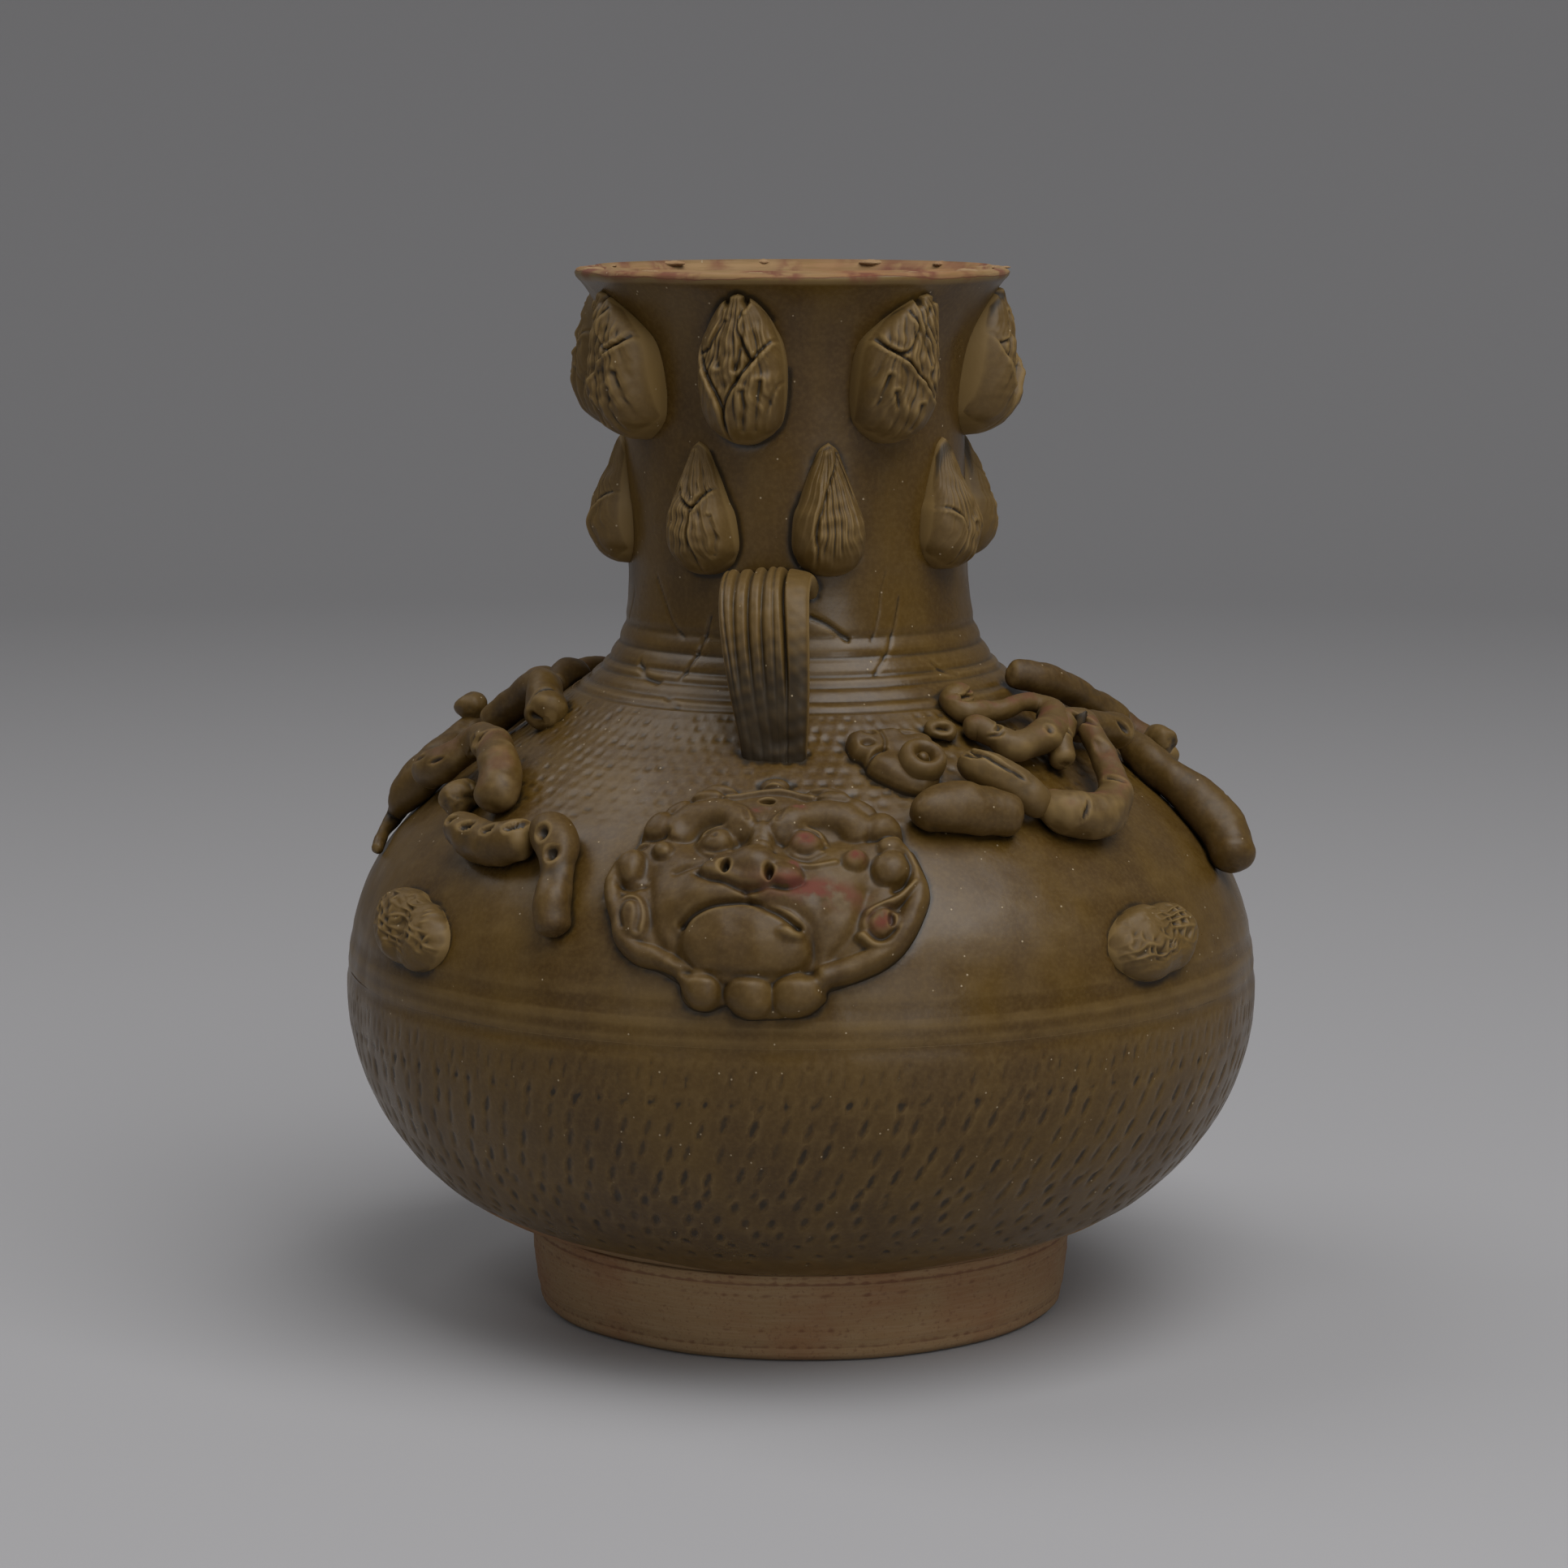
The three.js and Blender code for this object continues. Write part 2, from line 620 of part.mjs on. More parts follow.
function forePart(name, turn, maskTool) {
  const grown = (key) => coil(FORE[key], { turn, grow: GAP });
  const laid = (key, ...tools) => cutBy(coil(FORE[key], { turn }), tools);
  const eyeSeat = eyeRing(turn, GAP);
  addPiece(`${name}_head`, cutBy(dragonHead(turn), [eyeSeat, grown('horn'), grown('brow'), grown('foreleg_low')]));
  addPiece(`${name}_eye`, cutBy(eyeRing(turn), [grown('horn'), grown('brow')]));
  addPiece(`${name}_horn`, laid('horn'), paleGlaze());
  addPiece(`${name}_brow`, laid('brow', grown('horn')), paleGlaze());
  addPiece(`${name}_foreleg_low`, laid('foreleg_low', grown('horn'), maskTool));
  addPiece(`${name}_foreleg_high`, laid('foreleg_high', grown('neck_coil'), grown('brow'), grown('horn')));
  addPiece(`${name}_neck_coil`, laid('neck_coil', grown('horn'), grown('foreleg_low')), paleGlaze());
}

function hindPart(name, turn) {
  const grown = (key) => coil(HIND[key], { turn, grow: GAP });
  const laid = (key, ...tools) => cutBy(coil(HIND[key], { turn }), tools);
  addPiece(`${name}_hind_coil`, laid('hind_coil', grown('hind_knob'), grown('hind_leg')));
  addPiece(`${name}_hind_knob`, laid('hind_knob', grown('hind_leg')), paleGlaze());
  addPiece(`${name}_hind_leg`, laid('hind_leg', grown('hind_foot')));
  addPiece(`${name}_hind_foot`, laid('hind_foot'));
}

function middlePart(name, stations, neighbours) {
  const grown = (key) => coil(stations[key], { grow: GAP });
  const laid = (key, ...tools) => cutBy(coil(stations[key]), tools);
  addPiece(`${name}_body`, laid('body', grown('hip'), ...neighbours));
  addPiece(`${name}_back`, laid('back', grown('hip'), grown('body')));
  addPiece(`${name}_hip`, laid('hip'), paleGlaze());
  addPiece(`${name}_haunch`, laid('haunch', grown('body'), grown('hip'), ...neighbours));
}

// Assembly
const vase = new THREE.Group();

function leaned(geometry) {
  const position = geometry.getAttribute('position');
  const away = place(new THREE.Vector2(LEAN.reach, 0), LEAN.turn);
  for (let i = 0; i < position.count; i += 1) {
    const share = THREE.MathUtils.smoothstep(position.getZ(i), LEAN.from, LEAN.to);
    position.setX(i, position.getX(i) + away.x * share);
    position.setY(i, position.getY(i) + away.y * share);
  }
  return geometry;
}

function addPiece(name, shape, finish = glaze()) {
  const geometry = leaned(shape);
  geometry.computeVertexNormals();
  const piece = new THREE.Mesh(geometry, finish);
  piece.name = name;
  vase.add(piece);
}

addPiece('foot_ring', footRing(), bareClay());
addPiece('lower_bowl', bowl());
addPiece('upper_shoulder', shoulder());
addPiece('neck', neck());

['front', 'back'].forEach((side, i) => {
  addPiece(`strap_handle_${side}`, strapHandle(i * HALF_TURN), paleGlaze());
  addPiece(`lion_mask_${side}`, mask(i * HALF_TURN));
  PEANUT.angles.forEach((angle, k) => {
    const place = `${side}_${k === 0 ? 'left' : 'right'}`;
    addPiece(`peanut_${place}`, peanut(angle + i * HALF_TURN, k === 0 ? -8 : 4), paleGlaze());
  });
});

[[HIGH_BUD, 'high'], [LOW_BUD, 'low']].forEach(([row, level]) => {
  row.angles.forEach((angle, i) => {
    addPiece(`garlic_bud_${level}_${i + 1}`, bud(row, angle, row.lean[i]), paleGlaze());
  });
});

forePart('dragon_right', 0, mask(0, GAP));
middlePart('dragon_right', RIGHT_MIDDLE, [coil(FORE.neck_coil, { grow: GAP }), coil(FORE.foreleg_high, { grow: GAP })]);
hindPart('dragon_right', HALF_TURN);
hindPart('dragon_left', 0);
middlePart('dragon_left', LEFT_MIDDLE, [coil(HIND.hind_coil, { grow: GAP })]);
forePart('dragon_left', HALF_TURN, mask(HALF_TURN, GAP));

export default vase;
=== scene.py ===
# %% [markdown]
# # A garlic-head vase in olive glaze
# A potter threw this jar in sections, joined them with slip, pressed clay ornaments on to it and
# dipped it in an ash glaze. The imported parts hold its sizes. This lesson gives each part its
# surface: the throwing rings, the chatter marks, the ribs of the garlic, the lion's curls, and a
# glaze that runs dark into every hollow and thin over every ridge.

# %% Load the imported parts
import math

import bpy
import numpy as np
from mathutils.kdtree import KDTree
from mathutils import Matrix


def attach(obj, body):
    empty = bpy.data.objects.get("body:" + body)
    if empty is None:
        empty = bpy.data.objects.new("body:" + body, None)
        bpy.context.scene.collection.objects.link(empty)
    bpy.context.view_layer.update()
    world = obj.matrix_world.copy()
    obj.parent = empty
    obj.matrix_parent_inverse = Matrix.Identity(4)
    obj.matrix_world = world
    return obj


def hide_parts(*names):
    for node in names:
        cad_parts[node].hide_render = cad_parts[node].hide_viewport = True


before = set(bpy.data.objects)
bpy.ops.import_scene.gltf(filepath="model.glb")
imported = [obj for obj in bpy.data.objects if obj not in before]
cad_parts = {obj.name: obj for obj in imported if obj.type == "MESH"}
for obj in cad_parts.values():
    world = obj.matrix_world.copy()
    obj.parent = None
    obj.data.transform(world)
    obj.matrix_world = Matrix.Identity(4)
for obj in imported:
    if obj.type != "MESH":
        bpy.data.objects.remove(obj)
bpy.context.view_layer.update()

# %% [markdown]
# ## The jar's outline
# Everything sits on one turned outline, so that outline comes first. It is the same run of lines,
# curves and one arc that the parts were turned from. A place on the jar is then three numbers:
# the turn about the axis, the distance along the outline, and the lift above the clay.

# %% Sizes in mm
MM = 0.001
HEIGHT = 340.0
FOOT_RADIUS = 86.0
FOOT_TOP_RADIUS = 89.5
FOOT_HEIGHT = 29.0
FOOT_WIDTH = 12.0
BELLY_RADIUS = 149.0
BELLY_HEIGHT = 106.0
BELLY_CENTRE_RADIUS = 64.0
SHOULDER = (114.0, 174.0)
NECK_FOOT = (71.5, 206.5)
NECK_RADIUS = 55.3
NECK_START_HEIGHT = 242.0
FLARE_HEIGHT = 284.0
LIP_RADIUS = 70.5
LIP_FOOT = (LIP_RADIUS - 2, HEIGHT - 4)
RIM_TOP = (68.7, HEIGHT)
BODY_WALL = 8.0
NECK_WALL = 6.5
RECESS_HEIGHT = 12.0
FLOOR_HEIGHT = 23.0
BELLY_SEAM_HEIGHT = 113.7
NECK_SEAM_HEIGHT = 204.0
LEAN_REACH = 2.7
LEAN_FROM = 195.0
LEAN_TO = 290.0
LEAN_TURN = -83.5
HALF_TURN = 180.0

print("height, belly and mouth in mm:", HEIGHT, 2 * BELLY_RADIUS, 2 * LIP_RADIUS)

# %% [markdown]
# Two soft steps come back all through the lesson: `ease` goes from 0 to 1 between two values, and
# `fade` falls from 1 to 0 on both sides of a middle. The outline is drawn from bottom to top, and
# its slope gives the direction that points straight out of the wall.

# %% The outline from foot to rim
def ease(x, low, high):
    """0 below low, 1 above high, and a smooth step between."""
    t = np.clip((np.asarray(x, float) - low) / (high - low), 0, 1)
    return t * t * (3 - 2 * t)


def fade(gap, width):
    """1 where the gap is 0, falling softly to 0 beyond this width."""
    return np.exp(-((gap / width) ** 2))


def bezier(a, b, c, d, count=240):
    t = np.linspace(0, 1, count)[:, None]
    a, b, c, d = (np.array(p, float) for p in (a, b, c, d))
    return (1 - t) ** 3 * a + 3 * (1 - t) ** 2 * t * b + 3 * (1 - t) * t ** 2 * c + t ** 3 * d


def straight(a, b, count=160):
    t = np.linspace(0, 1, count)[:, None]
    return np.array(a, float) * (1 - t) + np.array(b, float) * t


def jar_outline():
    across = BELLY_RADIUS - BELLY_CENTRE_RADIUS
    start = -math.acos((FOOT_TOP_RADIUS - BELLY_CENTRE_RADIUS) / across)
    up = (BELLY_HEIGHT - FOOT_HEIGHT) / -math.sin(start)
    t = np.linspace(start, 0, 400)
    belly = np.stack([BELLY_CENTRE_RADIUS + across * np.cos(t), BELLY_HEIGHT + up * np.sin(t)], 1)
    runs = [
        straight((FOOT_RADIUS, 0), (FOOT_TOP_RADIUS, FOOT_HEIGHT)),
        belly,
        bezier((BELLY_RADIUS, BELLY_HEIGHT), (BELLY_RADIUS, 140), (134.5, 158), SHOULDER),
        straight(SHOULDER, NECK_FOOT),
        bezier(NECK_FOOT, (61.5, 214), (55.8, 222), (NECK_RADIUS, NECK_START_HEIGHT)),
        straight((NECK_RADIUS, NECK_START_HEIGHT), (NECK_RADIUS, FLARE_HEIGHT)),
        bezier((NECK_RADIUS, FLARE_HEIGHT), (NECK_RADIUS, 310), (59.5, 325), LIP_FOOT),
        bezier(LIP_FOOT, (LIP_RADIUS, 337.6), (LIP_RADIUS + 0.4, 339.6), RIM_TOP, 40),
    ]
    return np.concatenate([runs[0]] + [run[1:] for run in runs[1:]])


outline = jar_outline()
outline_distance = np.concatenate([[0], np.cumsum(np.hypot(*np.diff(outline, axis=0).T))])
OUTLINE_LENGTH = outline_distance[-1]
slope = np.gradient(outline, outline_distance, axis=0)
slope /= np.linalg.norm(slope, axis=1)[:, None]
print("outline length in mm:", round(OUTLINE_LENGTH, 1))

# %% [markdown]
# The marks and the sprigs are laid out on the wall itself, so these tools go from a height to a
# distance along the outline, and from a turn and a distance to a point in the frame.

# %% Places on the wall
def along(height):
    """Distance along the outline at which it reaches a height."""
    return np.interp(height, outline[:, 1], outline_distance)


def height_at(distance):
    """Height of the outline at a distance along it."""
    return np.interp(distance, outline_distance, outline[:, 1])


def wall(distance, lift=0.0):
    """Radius and height of a place on the wall, lifted off it along its normal."""
    radius, height, run, rise = (
        np.interp(distance, outline_distance, column) for column in (*outline.T, *slope.T)
    )
    return radius + rise * lift, height - run * lift


def turned(radius, height, angle):
    """Points at a turn about the axis, in degrees from the front towards +X."""
    turn = np.radians(angle)
    return np.stack(np.broadcast_arrays(radius * np.sin(turn), -radius * np.cos(turn), height), -1)


def on_wall(angle, distance, lift=0.0):
    radius, height = wall(distance, lift)
    return turned(radius, height, angle)


def leaned(points):
    """The neck was thrown a little out of true."""
    away = turned(LEAN_REACH, 0.0, LEAN_TURN)
    return points + ease(points[:, 2], LEAN_FROM, LEAN_TO)[:, None] * away


print("belly seam along the outline at:", round(float(along(BELLY_SEAM_HEIGHT)), 1))

# %% [markdown]
# ## Small tools for clay
# Hand work is never quite even and never quite straight. `rumple` gives its soft unevenness, from
# a few crossing waves with a fixed seed, so it is the same in every run. `smooth_path` bends a
# line through a few points, as a hand draws it, and `gap_to` measures the distance from it.

# %% Unevenness and paths
def rumple(points, size, seed, waves=14):
    """Smooth unevenness, mostly between -1 and 1, in lumps of about this size in mm."""
    dice = np.random.default_rng(seed)
    total = np.zeros(points.shape[:-1])
    for _ in range(waves):
        way = dice.normal(size=3)
        way *= 2 * np.pi / (np.linalg.norm(way) * size * dice.uniform(0.7, 1.7))
        total += np.sin(points @ way + dice.uniform(0, 2 * np.pi))
    return total / math.sqrt(waves)


def smooth_path(points, per_span=8):
    """A centripetal Catmull-Rom curve through these points."""
    points = np.array(points, float)
    ends = np.concatenate([[2 * points[0] - points[1]], points, [2 * points[-1] - points[-2]]])
    t = np.arange(per_span)[:, None] / per_span
    rows = []
    for a, b, c, d in zip(ends, ends[1:], ends[2:], ends[3:]):
        before, here, after = (math.sqrt(np.linalg.norm(q - p)) for p, q in ((a, b), (b, c), (c, d)))
        start = ((b - a) / before - (c - a) / (before + here) + (c - b) / here) * here
        end = ((c - b) / here - (d - b) / (here + after) + (d - c) / after) * here
        bend = 3 * (c - b) - 2 * start - end
        rows.append(b + start * t + bend * t ** 2 + (2 * (b - c) + start + end) * t ** 3)
    rows.append(points[-1:])
    return np.concatenate(rows)


def gap_to(x, y, path):
    """Distance of every point from a smooth path."""
    line = smooth_path(path, 5)
    nearest = np.full(np.shape(x), 1e6)
    for (ax, ay), (bx, by) in zip(line[:-1], line[1:]):
        dx, dy = bx - ax, by - ay
        t = np.clip(((x - ax) * dx + (y - ay) * dy) / (dx * dx + dy * dy + 1e-9), 0, 1)
        nearest = np.minimum(nearest, np.hypot(x - ax - t * dx, y - ay - t * dy))
    return nearest


print("unevenness at the foot:", np.round(rumple(on_wall(0.0, np.arange(3.0)), 9.0, 1), 2))

# %% [markdown]
# Thrown walls, straps and rings are all rows of points, so one tool stitches any two rings into
# faces, also where one has more points than the other. `build` makes the mesh and turns
# its faces outwards. Values that a finish will read travel with the points as attributes.

# %% Meshes from rings
def bridge(a, count_a, b, count_b):
    """Faces between ring a and ring b, which start at those indices. A ring of one is a pole."""
    if count_a == count_b:
        k = np.arange(count_a)
        n = (k + 1) % count_a
        return np.stack([a + k, a + n, b + n, b + k], 1).tolist()
    if count_b == 1:
        return [[a + k, a + (k + 1) % count_a, b] for k in range(count_a)]
    if count_a < count_b:
        return [face[::-1] for face in bridge(b, count_b, a, count_a)]
    share = count_a // count_b
    faces = []
    for k in range(count_a):
        coarse = k // share if k % share < share / 2 else k // share + 1
        faces.append([a + k, a + (k + 1) % count_a, b + coarse % count_b])
        if k % share == math.ceil(share / 2):
            faces.append([a + k, b + (k // share + 1) % count_b, b + k // share])
    return faces


def ring_faces(rings):
    """Faces over rings of points, in order."""
    starts = np.concatenate([[0], np.cumsum([len(ring) for ring in rings])]).tolist()
    faces = []
    for i in range(len(rings) - 1):
        faces += bridge(starts[i], len(rings[i]), starts[i + 1], len(rings[i + 1]))
    return faces


def put(name, data):
    """An object for a mesh, a lamp or a camera, in the scene."""
    made = bpy.data.objects.new(name, data)
    bpy.context.scene.collection.objects.link(made)
    return made


def read_points(mesh, key):
    flat = np.empty(len(mesh.vertices) * 3, np.float32)
    mesh.vertices.foreach_get(key, flat)
    return flat.reshape(-1, 3).astype(float)


def move_points(mesh, points):
    mesh.vertices.foreach_set("co", (points * MM).astype(np.float32).ravel())
    mesh.update()


def read_value(mesh, key):
    values = np.empty(len(mesh.vertices), np.float32)
    mesh.attributes[key].data.foreach_get("value", values)
    return values


def write_value(mesh, key, values):
    attribute = mesh.attributes.get(key) or mesh.attributes.new(key, "FLOAT", "POINT")
    attribute.data.foreach_set("value", np.asarray(values, np.float32).ravel())


def build(name, points, faces, extra=None):
    """A mesh object from points in mm, faces outwards, smooth, with its attributes."""
    mesh = bpy.data.meshes.new(name)
    mesh.from_pydata((leaned(points) * MM).tolist(), [], faces)
    mesh.validate()
    mesh.calc_loop_triangles()
    corners = np.empty(len(mesh.loop_triangles) * 3, np.int32)
    mesh.loop_triangles.foreach_get("vertices", corners)
    a, b, c = points[corners.reshape(-1, 3)].transpose(1, 0, 2)
    if np.einsum("ij,ij->i", a, np.cross(b, c)).sum() < 0:
        mesh.flip_normals()
    for key, values in (extra or {}).items():
        write_value(mesh, key, values)
    mesh.shade_smooth()
    return put(name, mesh)


print("faces between a ring of 12 and one of 6:", len(bridge(0, 12, 12, 6)))

# %% [markdown]
# A real ash glaze pools in hollows, thins on ridges and gathers where a sprig meets the wall.
# `read_hollows` measures how far each point lies below or above its surroundings and writes that
# as the attribute `hollow`, which the glaze reads. `settle` then gives a piece its place in
# the frame. What is laid on the wall is also marked `dry`, since glaze runs off it and fires duller,
# and its foot is darkened where it meets the wall, for gathered glaze and painted shade.

# %% Hollows and pools
HOLLOW_ROUNDS = 10
HIDDEN = -1000.0
FOOT_POOL_AND_SHADE = 0.3
FOOT_POOL_AND_SHADE_REACH = 1.3
MEETING = (0.1, 1.5)
OUTLINE_STEP = 3
CHUNK = 4000
met = []


def read_hollows(piece, reach=1.0):
    """Writes the attribute hollow: + below the surroundings, - above them, in mm over reach."""
    mesh = piece.data
    count = len(mesh.vertices)
    points = read_points(mesh, "co") / MM
    edges = np.empty(len(mesh.edges) * 2, np.int32)
    mesh.edges.foreach_get("vertices", edges)
    a, b = edges.reshape(-1, 2).T
    if mesh.attributes.get("run"):
        run = read_value(mesh, "run")
        outer = (run[a] > HIDDEN / 2) & (run[b] > HIDDEN / 2)
        a, b = a[outer], b[outer]
    ends = np.concatenate([a, b])
    others = np.concatenate([b, a])
    degree = np.bincount(ends, minlength=count)[:, None]
    smooth = points
    for _ in range(HOLLOW_ROUNDS):
        near = np.stack([np.bincount(ends, smooth[others, k], count) for k in range(3)], 1)
        smooth = np.where(degree > 0, (smooth + near / np.maximum(degree, 1)) / 2, smooth)
    write_value(mesh, "hollow", ((smooth - points) * read_points(mesh, "normal")).sum(1) / reach)


def darken(piece, amount):
    """Adds to the hollow of a piece, so that it renders darker there, for thicker glaze and, where a caller
    adds it, painted shade.
    """
    write_value(piece.data, "hollow", read_value(piece.data, "hollow") + np.float32(amount))


def off_wall(points):
    """How far points in mm stand off the smooth wall."""
    radius = np.hypot(points[:, 0], points[:, 1])
    coarse_radius, coarse_height = outline[::OUTLINE_STEP].T
    nearest = np.empty(len(points), int)
    for start in range(0, len(points), CHUNK):
        rows = slice(start, start + CHUNK)
        gap = (radius[rows, None] - coarse_radius) ** 2 + (points[rows, 2, None] - coarse_height) ** 2
        nearest[rows] = gap.argmin(1) * OUTLINE_STEP
    run, rise = slope[nearest].T
    return (radius - outline[nearest, 0]) * rise - (points[:, 2] - outline[nearest, 1]) * run


def pool_and_shade_at_foot(piece):
    """Darkens the foot of a sprig where it meets the wall, for gathered glaze and painted shade, so hollow
    rises there, and the meeting is noted.
    """
    points = read_points(piece.data, "co") / MM
    high = off_wall(points)
    met.append(points[(high > MEETING[0]) & (high < MEETING[1])][::2])
    # gathered glaze and painted shade: hollow rises close to the wall, so the sprig's foot renders dark
    darken(piece, FOOT_POOL_AND_SHADE * fade(np.maximum(high, 0), FOOT_POOL_AND_SHADE_REACH))


def settle(piece, slot, *nodes, material=None, reach=1.0, laid_on=False):
    """Finishes a piece: its hollows, its material, its place in the frame."""
    if material:
        piece.data.materials.clear()
        piece.data.materials.append(material)
    read_hollows(piece, reach)
    if laid_on:
        pool_and_shade_at_foot(piece)
        write_value(piece.data, "dry", np.ones(len(piece.data.vertices)))
    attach(piece, "root")
    if nodes:
        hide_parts(*nodes)
    triangles = sum(len(face.vertices) - 2 for face in piece.data.polygons)
    print(f"{piece.name}: {triangles} triangles")
    return piece


print("rounds of smoothing that a hollow is measured against:", HOLLOW_ROUNDS)

# %% [markdown]
# ## Camera and light
# The photograph was taken from a little above the shoulder with a long lens, so the camera stands
# well back and looks slightly down. The light is a studio's: a soft grey room, a large soft box
# high on the right and a weaker one on the left.

# %% Camera
LENS = 100.75
SENSOR = 36.0
CAMERA_TURN = 6.5
CAMERA_PITCH = 8.45
CAMERA_BACK = 1423.75
CAMERA_SIDE = -5.7
CAMERA_HEIGHT = 382.84

turn = math.radians(CAMERA_TURN)
camera = put("camera", bpy.data.cameras.new("camera"))
camera.data.lens = LENS
camera.data.sensor_width = SENSOR
camera.location = (
    (CAMERA_SIDE * math.cos(turn) + CAMERA_BACK * math.sin(turn)) * MM,
    (CAMERA_SIDE * math.sin(turn) - CAMERA_BACK * math.cos(turn)) * MM,
    CAMERA_HEIGHT * MM,
)
camera.rotation_euler = (math.radians(90 - CAMERA_PITCH), 0, turn)
bpy.context.scene.camera = camera
print("camera stands at", [round(v, 3) for v in camera.location])

# %% [markdown]
# Four soft boxes light the jar. The big one gives the long soft highlight on the shoulder, and the
# two small low ones are the windows that show as small bright marks in the glaze.

# %% Lights and view
ROOM_LIGHT = 0.16
SOFT_BOXES = {
    "high_right": {"turn": 44.0, "up": 60.0, "away": 2.3, "size": 2.0, "power": 46.0},
    "window": {"turn": 29.0, "up": 12.0, "away": 2.3, "size": 0.6, "power": 5.5},
    "low_left": {"turn": -27.0, "up": 16.0, "away": 2.3, "size": 0.7, "power": 2.2},
    "high_left": {"turn": -100.0, "up": 55.0, "away": 2.3, "size": 1.4, "power": 11.0},
}
AIM = np.array([0.0, 0.0, 0.17])

world = bpy.data.worlds.new("studio")
world.use_nodes = True
world.node_tree.nodes["Background"].inputs["Color"].default_value = (1, 1, 1, 1)
world.node_tree.nodes["Background"].inputs["Strength"].default_value = ROOM_LIGHT
bpy.context.scene.world = world
for name, box in SOFT_BOXES.items():
    lamp = bpy.data.lights.new(name, "AREA")
    lamp.size = box["size"]
    lamp.energy = box["power"]
    holder = put(name, lamp)
    up = math.radians(box["up"])
    way = turned(math.cos(up), math.sin(up), box["turn"])
    holder.location = AIM + way * box["away"]
    holder.rotation_euler = (math.pi / 2 - up, 0, math.atan2(way[1], way[0]) + math.pi / 2)
bpy.context.scene.view_settings.view_transform = "Standard"
print("soft boxes:", ", ".join(SOFT_BOXES))

# %% [markdown]
# ## Glaze and bare clay
# One recipe serves the whole jar, since the same dip covered it all. Its colour is an olive brown
# that drifts from place to place, darker where `hollow` says that the glaze pooled and buff where
# it is thin. `hollow` also carries painted shade where sprigs meet the wall and on the straps' lower
# parts. Fine pale grit shows through everywhere. The attribute `bare` uncovers the clay,
# with an iron-red line where the glaze ends. `rubbed` shows the red patches on the mask, the lip
# and the tops of the coils, and `dry` makes the sprigs duller.

# %% Node helpers
def add(tree, kind, inputs=(), **settings):
    """Adds a node. Inputs are values or sockets, by number or by name."""
    made = tree.nodes.new(kind)
    for key, value in settings.items():
        setattr(made, key, value)
    pairs = inputs.items() if isinstance(inputs, dict) else enumerate(inputs)
    for key, value in pairs:
        if isinstance(value, bpy.types.NodeSocket):
            tree.links.new(value, made.inputs[key])
        elif value is not None:
            made.inputs[key].default_value = value
    return made


def calc(tree, operation, *values, clamp=False):
    """A math node's result."""
    return add(tree, "ShaderNodeMath", values, operation=operation, use_clamp=clamp).outputs[0]


def ramp(tree, value, low, high, to_low=0.0, to_high=1.0):
    """A smooth step of a value, from to_low at low to to_high at high."""
    inputs = {"Value": value, "From Min": low, "From Max": high, "To Min": to_low, "To Max": to_high}
    return add(tree, "ShaderNodeMapRange", inputs, interpolation_type="SMOOTHSTEP").outputs["Result"]


def blend(tree, share, first, second):
    """A colour mix."""
    made = tree.nodes.new("ShaderNodeMix")
    made.data_type = "RGBA"
    sockets = [s for s in made.inputs if s.identifier in ("Factor_Float", "A_Color", "B_Color")]
    for socket, value in zip(sockets, (share, first, second)):
        if isinstance(value, bpy.types.NodeSocket):
            tree.links.new(value, socket)
        else:
            socket.default_value = value
    return next(s for s in made.outputs if s.identifier == "Result_Color")


def noise(tree, vector, scale, detail=3.0, roughness=0.55):
    inputs = {"Vector": vector, "Scale": scale, "Detail": detail, "Roughness": roughness}
    return add(tree, "ShaderNodeTexNoise", inputs).outputs["Fac"]


def tone(red, green, blue):
    """A colour given as it looks on a screen, 0 to 255, as the linear colour that nodes take."""
    linear = [((v / 255 + 0.055) / 1.055) ** 2.4 if v > 10 else v / 255 / 12.92 for v in (red, green, blue)]
    return (*linear, 1.0)


print("a mid grey as nodes take it:", round(tone(128, 128, 128)[0], 3))

# %% [markdown]
# Every finish reads the place on the piece in Object coordinates, so the pattern stays with the
# clay. Throwing and turning draw the grain out level, and running glaze draws it out upright.

# %% Start of a material
LEVEL_STRETCH = (0.3, 0.3, 6.0)
UPRIGHT_STRETCH = (1.0, 1.0, 0.22)


def value_of(tree, name):
    """The attribute of this name, where the shader stands."""
    return add(tree, "ShaderNodeAttribute", attribute_name=name).outputs["Fac"]


def stretched(tree, place, scale):
    return add(tree, "ShaderNodeMapping", {"Vector": place, "Scale": scale}).outputs["Vector"]


def start_material(name):
    """An empty material, the place on the piece, and that place drawn out level as on the wheel."""
    material = bpy.data.materials.new(name)
    material.use_nodes = True
    tree = material.node_tree
    tree.nodes.clear()
    place = add(tree, "ShaderNodeTexCoord").outputs["Object"]
    return material, tree, place, stretched(tree, place, LEVEL_STRETCH)


print("grain drawn out level and upright by:", LEVEL_STRETCH, UPRIGHT_STRETCH)

# %% [markdown]
# The recipe mixes its colours in the order in which a real glaze gets them: drift first, then the
# thin and the pooled places, then bare clay with its red edge, the red patches, and the grit.

# %% Glaze recipe
OLIVE = tone(87, 64, 21)
BROWN = tone(72, 51, 18)
# POOL is the dark of pooled glaze, and also of the painted shade added to hollow at sprig feet and on the
# straps
POOL = tone(37, 29, 16)
THIN = tone(119, 95, 53)
GRIT = tone(168, 150, 120)
CLAY = tone(144, 115, 79)
CLAY_RED = tone(139, 101, 67)
IRON_EDGE = tone(96, 54, 36)
SCAR = tone(104, 54, 42)


